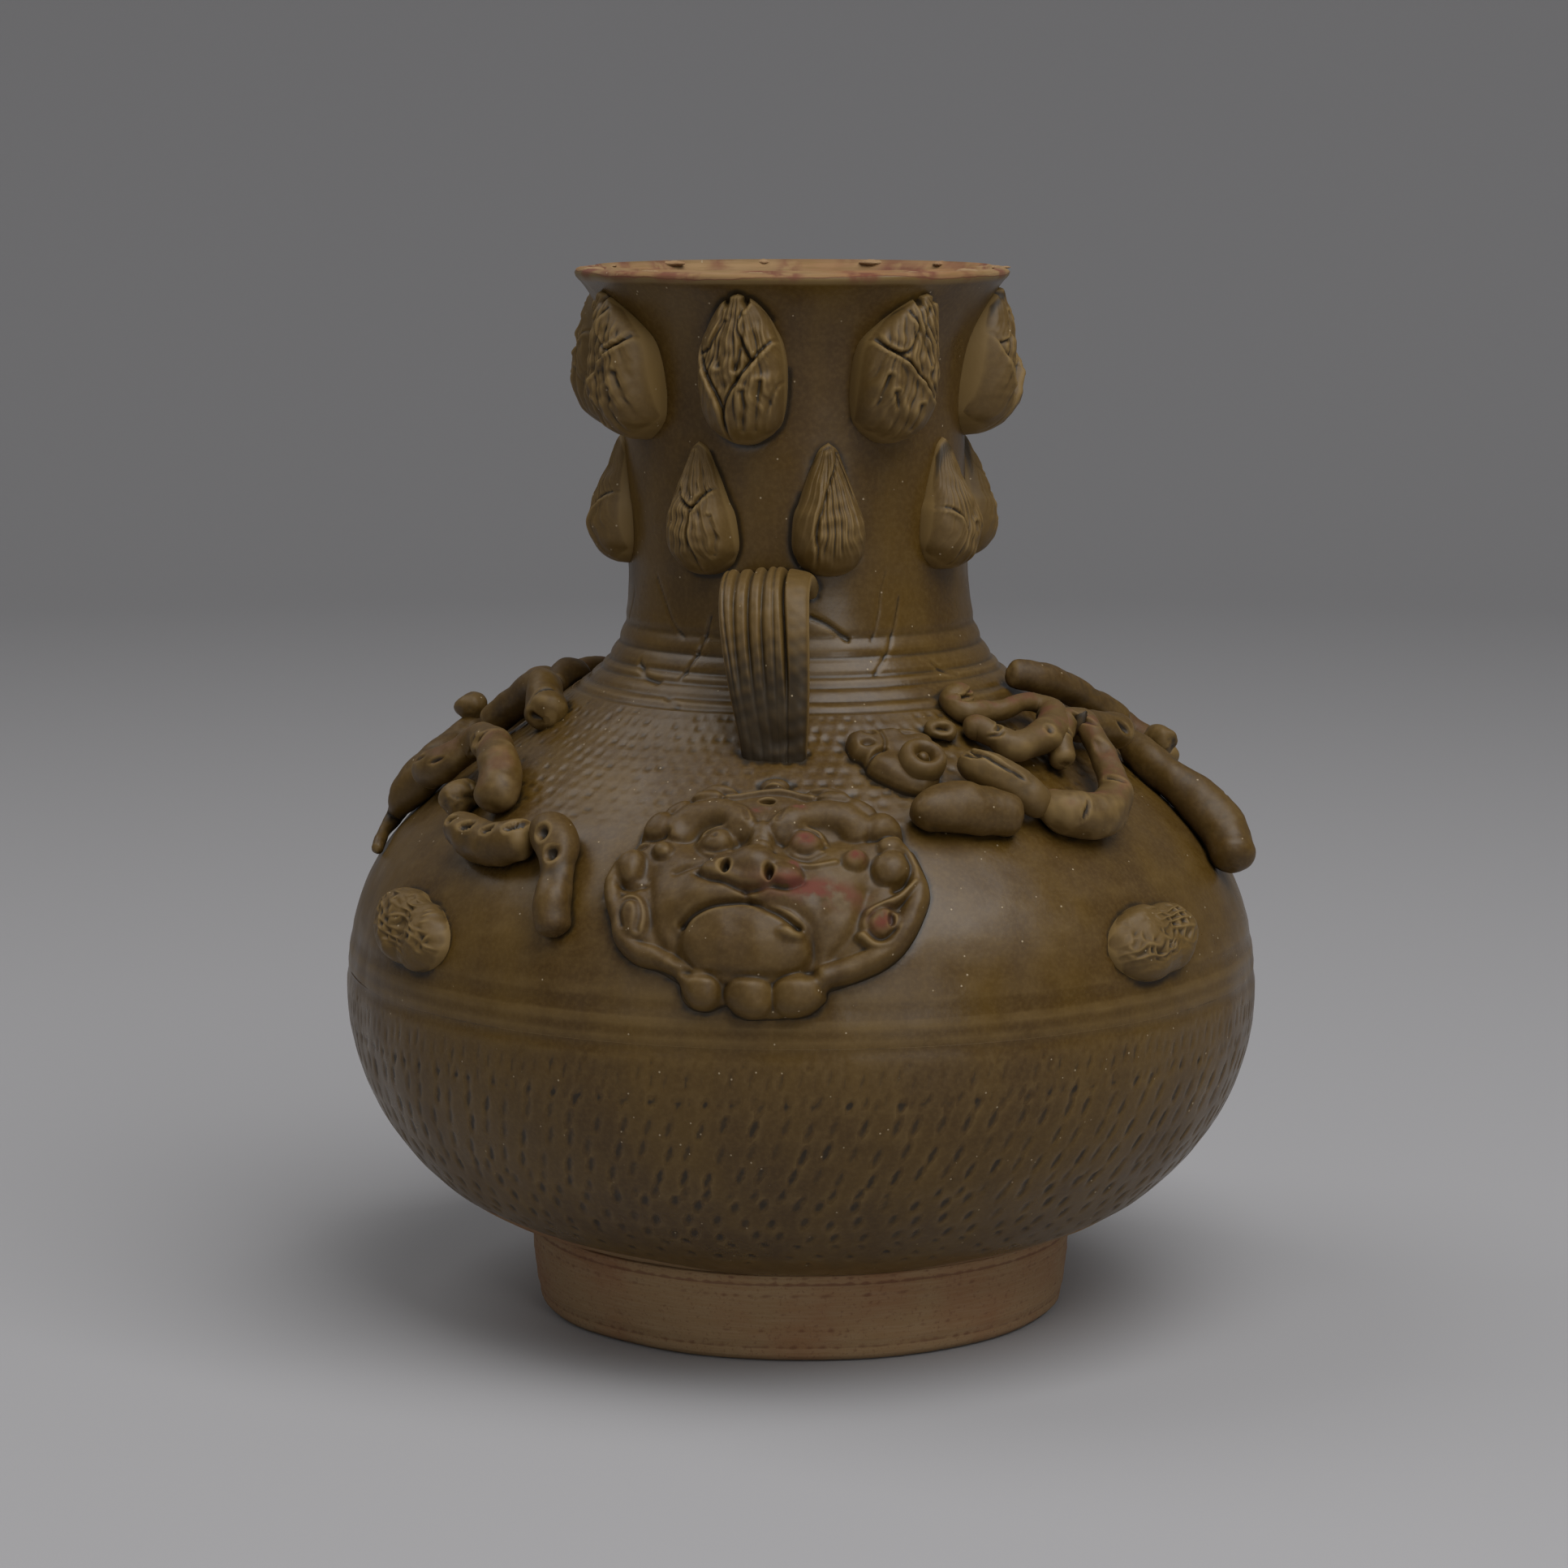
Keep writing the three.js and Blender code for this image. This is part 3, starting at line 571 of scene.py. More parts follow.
def make_glaze(name, lighter=0.0):
    """The jar's glaze. Lighter adds a share of the thin, buff glaze of the ornaments."""
    material, tree, place, level = start_material(name)
    streaky = stretched(tree, place, UPRIGHT_STRETCH)
    hollow, bare, rubbed, dry = (value_of(tree, key) for key in ("hollow", "bare", "rubbed", "dry"))

    drift = calc(tree, "ADD", noise(tree, place, 14.0), noise(tree, streaky, 60.0))
    colour = blend(tree, ramp(tree, drift, 0.75, 1.25), BROWN, OLIVE)
    colour = blend(tree, ramp(tree, noise(tree, place, 700.0, 2.0), 0.35, 0.75, 0.0, 0.2), colour, THIN)
    thin = calc(tree, "ADD", ramp(tree, hollow, -0.03, -0.3, 0.0, 0.8), lighter, clamp=True)
    colour = blend(tree, thin, colour, THIN)
    # darker towards POOL with hollow: pooled glaze, plus painted shade where it was added to hollow
    colour = blend(tree, ramp(tree, hollow, 0.03, 0.34, 0.0, 0.88), colour, POOL)

    grain = noise(tree, level, 260.0, 4.0)
    clay = blend(tree, ramp(tree, noise(tree, place, 22.0), 0.4, 0.68), CLAY, CLAY_RED)
    clay = blend(tree, ramp(tree, grain, 0.4, 0.7, 0.0, 0.5), clay, THIN)
    bare = calc(tree, "SUBTRACT", bare, 0.35)
    ragged = calc(tree, "MULTIPLY_ADD", noise(tree, place, 160.0, 4.0), 0.7, bare)
    uncovered = ramp(tree, ragged, 0.42, 0.58)
    edge = calc(tree, "MULTIPLY", ramp(tree, ragged, 0.3, 0.5), ramp(tree, ragged, 0.75, 0.5))
    colour = blend(tree, uncovered, colour, clay)
    colour = blend(tree, calc(tree, "MULTIPLY", edge, 0.75), colour, IRON_EDGE)
    sore = calc(tree, "MULTIPLY", rubbed, ramp(tree, noise(tree, place, 150.0, 3.0), 0.34, 0.56))
    colour = blend(tree, sore, colour, SCAR)

    speck = add(tree, "ShaderNodeTexVoronoi", {"Vector": place, "Scale": 300.0})
    chance = add(tree, "ShaderNodeTexWhiteNoise", {"Vector": speck.outputs["Position"]}).outputs["Value"]
    chosen = calc(tree, "GREATER_THAN", chance, 0.8)
    dot = calc(tree, "MULTIPLY", ramp(tree, speck.outputs["Distance"], 0.12, 0.06), chosen)
    colour = blend(tree, calc(tree, "MULTIPLY", dot, 0.85), colour, GRIT)

    gloss = ramp(tree, noise(tree, place, 45.0), 0.3, 0.7, 0.26, 0.42)
    gloss = calc(tree, "MULTIPLY_ADD", dry, 0.16, calc(tree, "MULTIPLY_ADD", thin, 0.12, gloss))
    matt = calc(tree, "MAXIMUM", uncovered, sore)
    roughness = calc(tree, "MULTIPLY_ADD", matt, 0.45, gloss)
    skin = calc(tree, "ADD", calc(tree, "MULTIPLY", noise(tree, place, 420.0, 2.0), 0.7), dot)
    height = calc(tree, "ADD", skin, calc(tree, "MULTIPLY", grain, matt))
    bump = add(tree, "ShaderNodeBump", {"Strength": 0.18, "Distance": 0.0004, "Height": height})
    shader = add(tree, "ShaderNodeBsdfPrincipled", {
        "Base Color": colour, "Roughness": roughness, "IOR": 1.5, "Specular IOR Level": 0.36,
        "Normal": bump.outputs["Normal"],
    })
    add(tree, "ShaderNodeOutputMaterial", {"Surface": shader.outputs["BSDF"]})
    return material


glaze = make_glaze("olive_glaze")
pale_glaze = make_glaze("thin_glaze", 0.3)
print("finishes:", glaze.name, pale_glaze.name)

# %% [markdown]
# The foot and the scars in the mouth never saw glaze. Their clay is buff with redder patches, and
# a sharp tool drew level lines round it on the wheel, so its grain is stretched along the level.

# %% Bare clay recipe
def make_clay(name):
    material, tree, place, level = start_material(name)
    grain = noise(tree, level, 240.0, 5.0, 0.65)
    colour = blend(tree, ramp(tree, noise(tree, place, 24.0), 0.42, 0.68), CLAY, CLAY_RED)
    colour = blend(tree, ramp(tree, grain, 0.35, 0.72, 0.0, 0.22), colour, GRIT)
    colour = blend(tree, ramp(tree, noise(tree, place, 900.0, 3.0), 0.55, 0.72, 0.0, 0.4), colour, IRON_EDGE)
    colour = blend(tree, ramp(tree, value_of(tree, "hollow"), 0.02, 0.12, 0.0, 0.6), colour, IRON_EDGE)
    height = calc(tree, "ADD", grain, noise(tree, place, 1100.0, 3.0))
    bump = add(tree, "ShaderNodeBump", {"Strength": 0.25, "Distance": 0.0004, "Height": height})
    shader = add(tree, "ShaderNodeBsdfPrincipled", {
        "Base Color": colour, "Roughness": 0.88, "IOR": 1.5, "Normal": bump.outputs["Normal"],
    })
    add(tree, "ShaderNodeOutputMaterial", {"Surface": shader.outputs["BSDF"]})
    return material


bare_clay = make_clay("bare_clay")
print("finish:", bare_clay.name)

# %% [markdown]
# ## Floor
# The jar stands on a plain pale sheet that curves up all round it, so no edge shows behind it.

# %% Floor
FLOOR_TONE = tone(166, 165, 167)
SWEEP_START = 2200.0
SWEEP_RISE = 1500.0
SWEEP_COLUMNS = 96

sweep = [(0.0, 0.0), (300.0, 0.0), (1000.0, 0.0)]
for bow in np.linspace(0, np.pi / 2, 24):
    sweep.append((SWEEP_START + SWEEP_RISE * math.sin(bow), SWEEP_RISE * (1 - math.cos(bow))))
around = np.arange(SWEEP_COLUMNS) * 360 / SWEEP_COLUMNS
rings = []
for radius, height in sweep:
    count = SWEEP_COLUMNS if radius else 1
    rings.append(turned(radius, np.full(count, height), around[:count]))
sheet = bpy.data.meshes.new("floor")
sheet.from_pydata((np.concatenate(rings) * MM).tolist(), [], ring_faces(rings))
sheet.shade_smooth()
if sheet.polygons[0].normal.z < 0:
    sheet.flip_normals()
floor = put("floor", sheet)
paper = bpy.data.materials.new("paper")
paper.use_nodes = True
paper.node_tree.nodes["Principled BSDF"].inputs["Base Color"].default_value = FLOOR_TONE
paper.node_tree.nodes["Principled BSDF"].inputs["Roughness"].default_value = 0.9
sheet.materials.append(paper)
print("floor flat out to mm:", SWEEP_START)

# %% [markdown]
# ## Pressed marks, with Geometry Nodes
# The band on the shoulder was rolled with a toothed tool, and the lower body was chattered: a
# springy blade hopped over the turning pot and left rows of short cuts. Hundreds of marks that
# follow one rule are a job for Geometry Nodes. The tree lays the wall out as a grid of columns
# and rows, shifts each mark a little by chance, and pushes the points inside a mark into the clay.
# Its inputs are the sizes of the pattern, so one tree makes both patterns. The helpers here start
# a tree, push points out along their normals, end the tree, and keep its result as a mesh.

# %% Geometry Nodes helpers
def named(tree, name):
    """A value that travels with the points, such as the turn or the girth."""
    made = add(tree, "GeometryNodeInputNamedAttribute", data_type="FLOAT")
    made.inputs["Name"].default_value = name
    return made.outputs["Attribute"]


def start_tree(title, inputs):
    """A tree that takes a shape, these named sizes and a material, and what it is given."""
    tree = bpy.data.node_groups.new(title, "GeometryNodeTree")
    face = tree.interface
    face.new_socket("Geometry", in_out="INPUT", socket_type="NodeSocketGeometry")
    for name, value in inputs.items():
        kind = "NodeSocketInt" if isinstance(value, int) else "NodeSocketFloat"
        face.new_socket(name, in_out="INPUT", socket_type=kind).default_value = value
    face.new_socket("Material", in_out="INPUT", socket_type="NodeSocketMaterial")
    face.new_socket("Geometry", in_out="OUTPUT", socket_type="NodeSocketGeometry")
    return tree, tree.nodes.new("NodeGroupInput").outputs


def push_out(tree, shape, push):
    """Moves every point along its normal."""
    normal = tree.nodes.new("GeometryNodeInputNormal").outputs["Normal"]
    way = add(tree, "ShaderNodeVectorMath", {"Vector": normal, "Scale": push}, operation="SCALE").outputs[0]
    return add(tree, "GeometryNodeSetPosition", {"Geometry": shape, "Offset": way}).outputs[0]


def end_tree(tree, shape, material):
    whole = add(tree, "GeometryNodeRealizeInstances", {"Geometry": shape}).outputs[0]
    painted = add(tree, "GeometryNodeSetMaterial", {"Geometry": whole, "Material": material}).outputs[0]
    add(tree, "NodeGroupOutput", {"Geometry": painted})
    return tree


def apply_tree(piece, tree, **values):
    """Runs a Geometry Nodes tree on a piece and keeps the result as its plain mesh."""
    modifier = piece.modifiers.new("nodes", "NODES")
    modifier.node_group = tree
    for item in tree.interface.items_tree:
        if item.in_out == "INPUT" and item.name in values:
            modifier[item.identifier] = values[item.name]
    graph = bpy.context.evaluated_depsgraph_get()
    made = bpy.data.meshes.new_from_object(piece.evaluated_get(graph))
    piece.modifiers.clear()
    piece.data = made
    made.name = piece.name
    return piece


print("node trees for shapes so far:", len(bpy.data.node_groups))

# %% [markdown]
# One cell of the grid holds one mark. Its place in the cell and its strength come from a white
# noise on the cell's numbers, so the pattern is the same in every run. `Square` says how
# square the mark is, `Slant` and `Stagger` shift the rows, and `Low` and `High` end the pattern.

# %% Tree for pressed marks
MARK_EDGE = 1.5
MARK_INPUTS = {
    "Columns": 120.0, "Row": 6.0, "Low": 0.0, "High": 100.0, "Slant": 0.0, "Stagger": 0.5,
    "Width": 0.5, "Length": 0.6, "Depth": 0.5, "Stray": 0.3, "Square": 2.0, "Patchy": 0.5, "Seed": 1.0,
}


def make_marks_tree():
    tree, given = start_tree("pressed marks", MARK_INPUTS)
    row = calc(tree, "DIVIDE", named(tree, "run"), given["Row"])
    row_number = calc(tree, "FLOOR", row)
    odd = calc(tree, "MODULO", row_number, 2.0)
    column = calc(tree, "MULTIPLY", named(tree, "turn"), given["Columns"])
    column = calc(tree, "MULTIPLY_ADD", row, given["Slant"], column)
    column = calc(tree, "MULTIPLY_ADD", odd, given["Stagger"], column)
    column_number = calc(tree, "FLOORED_MODULO", calc(tree, "FLOOR", column), given["Columns"])
    cell = add(tree, "ShaderNodeCombineXYZ", (column_number, row_number, given["Seed"])).outputs[0]
    chance = add(tree, "ShaderNodeTexWhiteNoise", {"Vector": cell}).outputs["Color"]
    chance = add(tree, "ShaderNodeSeparateXYZ", (chance,)).outputs

    def offset(value, dice, size):
        middle = calc(tree, "SUBTRACT", calc(tree, "FRACT", value), 0.5)
        stray = calc(tree, "MULTIPLY", calc(tree, "SUBTRACT", dice, 0.5), given["Stray"])
        share = calc(tree, "DIVIDE", calc(tree, "ABSOLUTE", calc(tree, "SUBTRACT", middle, stray)), size)
        return calc(tree, "POWER", calc(tree, "MULTIPLY", share, 2.0), given["Square"])

    across = offset(column, chance[0], given["Width"])
    reach = calc(tree, "ADD", across, offset(row, chance[1], given["Length"]))
    reach = calc(tree, "POWER", reach, calc(tree, "DIVIDE", 1.0, given["Square"]))
    mark = ramp(tree, reach, 1.0, 0.45)
    weak = calc(tree, "MULTIPLY", chance[2], given["Patchy"])
    run = named(tree, "run")
    from_low = ramp(tree, run, given["Low"], calc(tree, "ADD", given["Low"], MARK_EDGE))
    to_high = ramp(tree, run, given["High"], calc(tree, "SUBTRACT", given["High"], MARK_EDGE))
    within = calc(tree, "MULTIPLY", from_low, to_high)
    push = calc(tree, "MULTIPLY", calc(tree, "MULTIPLY", mark, within), calc(tree, "SUBTRACT", 1.0, weak))
    push = calc(tree, "MULTIPLY", calc(tree, "MULTIPLY", push, given["Depth"]), -MM)
    return end_tree(tree, push_out(tree, given["Geometry"], push), given["Material"])


marks_tree = make_marks_tree()
print("nodes in the marks tree:", len(marks_tree.nodes))

# %% [markdown]
# ## Thrown sections
# The lower bowl, the shoulder and the neck are turned shells. Only the outer wall needs a fine
# grid, so the inner wall has fewer columns, and the two are stitched where they meet. Each row of
# the outer wall is moved by what the potter's fingers and tools left: soft ripples, scored rings,
# and the edge where the glaze ends.

# %% Turned shells
INNER_COLUMNS = 120
SEAM_ROW = 0.05
WALL_COLUMNS = 960


def wall_thickness(distance):
    middle = along(NECK_SEAM_HEIGHT)
    return BODY_WALL + (NECK_WALL - BODY_WALL) * ease(distance, middle, middle + 40)


def turned_shell(name, before, distances, after, columns, surface, bare):
    """A closed shell: outer rows with their surface, and coarse rings of (radius, height)."""
    angle = np.arange(columns) * 360 / columns + HALF_TURN
    coarse = np.arange(INNER_COLUMNS) * 360 / INNER_COLUMNS + HALF_TURN
    grid_turn, grid_run = np.meshgrid((angle + HALF_TURN) % 360 - HALF_TURN, distances)
    outer = on_wall(grid_turn, grid_run, surface(grid_turn, grid_run))

    def coarse_ring(radius, height):
        count = INNER_COLUMNS if radius else 1
        return turned(radius, np.full(count, float(height)), coarse[:count])

    rings = [coarse_ring(*place) for place in before] + list(outer) + [coarse_ring(*place) for place in after]
    turns = []
    runs = []
    shown = []
    for i, ring in enumerate(rings):
        row = i - len(before)
        on_face = 0 <= row < len(distances)
        turns.append((angle - HALF_TURN) / 360 if on_face else np.zeros(len(ring)))
        runs.append(np.full(len(ring), distances[row] if on_face else HIDDEN))
        shown.append(bare(grid_turn[row], ring[:, 2]) if on_face else np.ones(len(ring)))
    points = np.concatenate(rings)
    faces = ring_faces(rings)
    if len(rings[-1]) > 1:
        faces += bridge(len(points) - len(rings[-1]), len(rings[-1]), 0, len(rings[0]))
    extra = {"turn": np.concatenate(turns), "run": np.concatenate(runs), "bare": np.concatenate(shown)}
    return build(name, points, faces, extra)


def inner_run(from_height, to_height, count):
    """Places on the inner wall, from one height of the outline to another."""
    distances = np.linspace(along(from_height), along(to_height), count)
    return list(zip(*wall(distances, -wall_thickness(distances))))


def ripples(angle, distance, seed):
    """What the fingers leave: soft rings and a slightly uneven wall."""
    points = on_wall(angle, distance)
    level = np.stack([np.zeros_like(distance), np.zeros_like(distance), distance], -1)
    uneven = 0.22 * rumple(points, 70.0, seed) + 0.04 * rumple(points, 9.0, seed + 2)
    return uneven + 0.05 * rumple(level, 14.0, seed + 1)


def scored(height, rings):
    """Rings pressed in at these heights, each with a width and a depth."""
    return -sum(depth * fade(height - at, width) for at, width, depth in rings)


def lap(distance):
    """The step in the wall's edge by which one section sits in the next."""
    return [wall(distance, -4.0), wall(distance, -0.4)]


print("points round a wall:", WALL_COLUMNS, "outside and", INNER_COLUMNS, "inside")

# %% [markdown]
# ### Foot ring
# The foot was turned from a thick ring, bevelled where it stands, and left bare. Fine level
# lines run round it, and a shallow step below the joint marks where the tool stopped.

# %% Foot ring
FOOT_BEVEL = 1.6
FOOT_STEP = 24.5
FOOT_TOP_GAP = 0.3


def make_foot():
    heights = np.linspace(0.5, FOOT_HEIGHT - FOOT_TOP_GAP, 46)
    distances = along(heights)

    def surface(angle, distance):
        height = height_at(distance)
        level = np.stack([height * 0, height * 0, height], -1)
        points = on_wall(angle, distance)
        lift = 0.12 * rumple(level, 2.2, 41) + 0.25 * rumple(points, 40.0, 42)
        lift += 0.06 * rumple(points, 4.0, 43)
        lift += 0.5 * fade(height - 12, 8) - 0.5 * ease(height, FOOT_STEP, FOOT_STEP + 1.2)
        return lift - FOOT_BEVEL * (1 - ease(height, 0, 3.2)) ** 2

    inner = FOOT_RADIUS - FOOT_WIDTH + 1
    top = FOOT_HEIGHT - FOOT_TOP_GAP
    after = [(inner, top), (inner, 14), (inner + 0.4, 3), (inner + 2, 0), (FOOT_RADIUS - 4, 0)]
    return turned_shell("foot_ring", [], distances, after, 600, surface, lambda angle, height: height * 0 + 1)


foot = make_foot()
settle(foot, "bare_clay", "foot_ring", material=bare_clay)

# %% [markdown]
# ### Lower bowl
# The glaze stops in a wave just above the foot: low at the front, higher at the sides. The
# chatter marks change on their way down: thin upright ones under the belly grooves, long slanting
# ones round the middle, and short sparse ones near the foot.

# %% Lower bowl
BODY_GROOVES = [(124.2, 2.2, 0.34), (118.0, 1.4, 0.16), (112.6, 2.2, 0.36)]
GLAZE_LINE_FRONT = 27.5
GLAZE_LINE_RISE = 14.0
GLAZE_LINE_TURN = 6.0
GLAZE_THICKNESS = 0.35
PLUG_RADIUS = FOOT_RADIUS - FOOT_WIDTH + 0.7


def glaze_line(angle):
    from_low = angle - GLAZE_LINE_TURN
    spread = np.where(from_low < 0, 30.0, 42.0)
    wave = 1.2 * np.sin(np.radians(angle) * 5 + 1) + 0.7 * np.sin(np.radians(angle) * 13)
    return GLAZE_LINE_FRONT + GLAZE_LINE_RISE * (1 - fade(from_low, spread)) + wave


def below_glaze(angle, height):
    return 1 - ease(height, glaze_line(angle) - 1.4, glaze_line(angle) + 1.4)


def body_surface(angle, distance):
    height = height_at(distance)
    lift = ripples(angle, distance, 3) + scored(height, BODY_GROOVES)
    return lift - GLAZE_THICKNESS * below_glaze(angle, height)


CHATTER = {
    "fine": dict(
        Columns=190.0, Row=7.5, Low=95.0, High=110.0, Slant=-0.35, Stagger=0.5, Width=0.42, Length=1.0,
        Depth=0.34, Stray=0.4, Square=2.0, Patchy=0.45, Seed=3.0,
    ),
    "slanting": dict(
        Columns=112.0, Row=8.6, Low=64.0, High=98.0, Slant=-0.35, Stagger=0.0, Width=0.38, Length=1.05,
        Depth=0.55, Stray=0.4, Square=2.0, Patchy=0.45, Seed=5.0,
    ),
    "paired": dict(
        Columns=92.0, Row=7.6, Low=48.0, High=66.0, Slant=-0.2, Stagger=0.5, Width=0.4, Length=0.9,
        Depth=0.58, Stray=0.35, Square=2.0, Patchy=0.38, Seed=7.0,
    ),
    "sparse": dict(
        Columns=72.0, Row=7.0, Low=38.0, High=50.0, Slant=0.2, Stagger=0.5, Width=0.34, Length=0.62,
        Depth=0.58, Stray=0.35, Square=2.0, Patchy=0.42, Seed=9.0,
    ),
}


def make_bowl():
    seam = float(along(BELLY_SEAM_HEIGHT))
    start = float(along(FOOT_HEIGHT))
    rows = np.append(np.linspace(start + 0.1, seam - SEAM_ROW, 84), seam)
    under = [(0, 12.5), (30, RECESS_HEIGHT), (70, RECESS_HEIGHT + 0.5), (PLUG_RADIUS, RECESS_HEIGHT + 0.6),
             (PLUG_RADIUS, FOOT_HEIGHT - 0.1), (FOOT_TOP_RADIUS - 3, FOOT_HEIGHT)]
    inside = [*lap(seam)[::-1], *inner_run(BELLY_SEAM_HEIGHT + 3, 36, 26),
              (PLUG_RADIUS - 8, FLOOR_HEIGHT), (45, FLOOR_HEIGHT - 0.4), (20, FLOOR_HEIGHT + 0.3),
              (0, FLOOR_HEIGHT + 0.6)]
    bowl = turned_shell("lower_bowl", under, rows, inside, WALL_COLUMNS, body_surface, below_glaze)
    for zone in CHATTER.values():
        low, high = along(zone["Low"]), along(zone["High"])
        apply_tree(bowl, marks_tree, **{**zone, "Low": float(low), "High": float(high)}, Material=glaze)
    return bowl


bowl = make_bowl()
settle(bowl, "glaze", "lower_bowl")

# %% [markdown]
# ### Shoulder
# The shoulder carries the two belly grooves at its foot and the stamped band at its top. The
# stamp left small sunk fields with a raised net between them, so the marks are nearly square.

# %% Shoulder
BAND_LOW = 174.5
BAND_HIGH = 203.5
BAND = dict(
    Columns=122.0, Row=4.7, Slant=0.15, Stagger=0.5, Width=0.8, Length=0.72, Depth=0.34, Stray=0.35,
    Square=3.0, Patchy=0.8, Seed=11.0,
)


def glazed_everywhere(angle, height):
    return height * 0


def make_shoulder():
    low = float(along(BELLY_SEAM_HEIGHT))
    band = float(along(BAND_LOW)) - 1
    high = float(along(NECK_SEAM_HEIGHT))
    plain = np.linspace(low + SEAM_ROW, band, 37)[:-1]
    rows = np.concatenate([[low], plain, np.linspace(band, high - SEAM_ROW, 48), [high]])
    inside = [*lap(high)[::-1], *inner_run(NECK_SEAM_HEIGHT + 3, BELLY_SEAM_HEIGHT + 5, 22), *lap(low)]
    shoulder = turned_shell("upper_shoulder", [], rows, inside, WALL_COLUMNS, body_surface, glazed_everywhere)
    apply_tree(shoulder, marks_tree, **BAND, Low=band, High=float(along(BAND_HIGH)), Material=glaze)
    return shoulder


shoulder = make_shoulder()
settle(shoulder, "glaze", "upper_shoulder")

# %% [markdown]
# ### Neck
# Six scored rings close together hide the joint with the shoulder. The upper neck is smooth, and
# at the lip the glaze was wiped off, so the rim and the inside of the mouth show bare clay behind
# a thin red-brown line, with red patches from the kiln. Beside the front strap a nail or a loose
# thread of clay dragged a few thin lines. Each is a smooth path through places given by turn and
# height, and it comes first with its width and depth.

# %% Neck
NECK_RINGS = [
    (226.0, 1.7, 0.6), (220.0, 1.2, 0.6), (214.7, 0.9, 0.55), (211.6, 0.8, 0.5), (207.8, 0.9, 0.55),
    (204.9, 0.8, 0.5),
]
LIP_LINE = 338.4
LIP_ROUNDING = [(3.2, 0), (1.8, 0.3), (0.8, 1.0), (0.2, 2.2)]
LIP_RED = 0.9
LINE_RADIUS = 56.0
NECK_LINES = [
    (0.55, 0.5, [(-23.1, 231.8), (-25.6, 223.0), (-29.6, 212.9)]),
    (0.5, 0.35, [(-47.4, 242.4), (-42.4, 234.5), (-38.7, 229.0), (-33.1, 224.8)]),
    (0.5, 0.35, [(-65.0, 236.3), (-67.4, 232.0), (-69.8, 227.9)]),
    (0.7, 0.6, [(-49.3, 216.0), (-42.9, 212.4), (-36.5, 210.9)]),
    (0.6, 0.4, [(-30.3, 207.1), (-25.6, 205.2)]),
    (0.9, 1.0, [(10.0, 232.5), (15.2, 230.1), (21.6, 225.6)]),
    (0.5, 0.4, [(41.4, 237.4), (38.4, 229.2), (34.7, 221.9), (28.3, 215.0)]),
    (0.5, 0.25, [(36.7, 245.8), (34.5, 240.2), (32.6, 232.0), (29.6, 224.7)]),
    (0.6, 0.45, [(49.1, 216.7), (52.3, 214.0), (56.6, 212.8)]),
]


def dragged(angle, height):
    """The depth of the dragged lines at each place of the neck."""
    across = np.radians(angle) * LINE_RADIUS
    lift = np.zeros(np.shape(across))
    for width, deep, line in NECK_LINES:
        gap = gap_to(across, height, [(math.radians(at) * LINE_RADIUS, up) for at, up in line])
        lift -= deep * fade(gap, width)
    return lift


def neck_surface(angle, distance):
    height = height_at(distance)
    lift = ripples(angle, distance, 3) + scored(height, NECK_RINGS) + dragged(angle, height)
    return lift - GLAZE_THICKNESS * wiped(angle, height)


def wiped(angle, height):
    line = LIP_LINE + 0.5 * np.sin(np.radians(angle) * 4) + 0.3 * np.sin(np.radians(angle) * 11 + 2)
    return ease(height, line - 0.6, line + 0.6)


def make_neck():
    low = float(along(NECK_SEAM_HEIGHT))
    fine = float(along(234))
    ringed = np.linspace(low + SEAM_ROW, fine, 54)[:-1]
    rows = np.concatenate([[low], ringed, np.linspace(fine, OUTLINE_LENGTH, 92)])
    lip_inner = LIP_RADIUS - NECK_WALL
    rounded = [(lip_inner + out, HEIGHT - down) for out, down in LIP_ROUNDING]
    inside = [*rounded, *inner_run(HEIGHT - 4, NECK_SEAM_HEIGHT + 5, 46), *lap(low)]
    return turned_shell("neck", [], rows, inside, 600, neck_surface, wiped)


neck = make_neck()
settle(neck, "glaze", "neck", material=glaze)
lip_points = read_points(neck.data, "co") / MM
lip_outline = np.interp(lip_points[:, 2], outline[:, 1], outline[:, 0])
inside_lip = np.hypot(lip_points[:, 0], lip_points[:, 1]) < lip_outline - NECK_WALL / 2
red_reach = np.where(inside_lip, ease(lip_points[:, 2], 326, 337), ease(lip_points[:, 2], 335.5, 339.5))
write_value(neck.data, "rubbed", np.clip(LIP_RED * rumple(lip_points, 14.0, 15), 0, 0.8) * red_reach)

# %% [markdown]
# ## Sprigs: a height field on the wall
# Buds, masks, peanuts and the dragons' heads are sprigs, clay pressed in a mould and stuck on. A
# sprig is a square grid squeezed into its outline, with a height at every point. The tools below
# work on the heights like a modeller's fingers: a dome is set on, a swelling raised, a hole
# punched, a groove or a ridge drawn along a smooth path.

# %% A modeller's marks
def oval(x, y, at_x, at_y, wide, tall, tilt=0.0):
    """0 at a place, 1 on an oval round it, and more outside."""
    c, s = math.cos(math.radians(tilt)), math.sin(math.radians(tilt))
    u = (x - at_x) * c + (y - at_y) * s
    v = (y - at_y) * c - (x - at_x) * s
    return (u / wide) ** 2 + (v / tall) ** 2


def bell(x, y, *place):
    """1 at a place, fading over an oval."""
    return np.exp(-oval(x, y, *place))


def punch(x, y, *place):
    """1 inside an oval, with a steep edge, as a stick punches it."""
    return np.exp(-(oval(x, y, *place) ** 2))


def mound(share):
    """Height of a round top: 1 in the middle, 0 where share is 1, below 0 outside."""
    return np.where(share < 1, np.sqrt(np.clip(1 - share, 0, 1)), 2 * (1 - share))


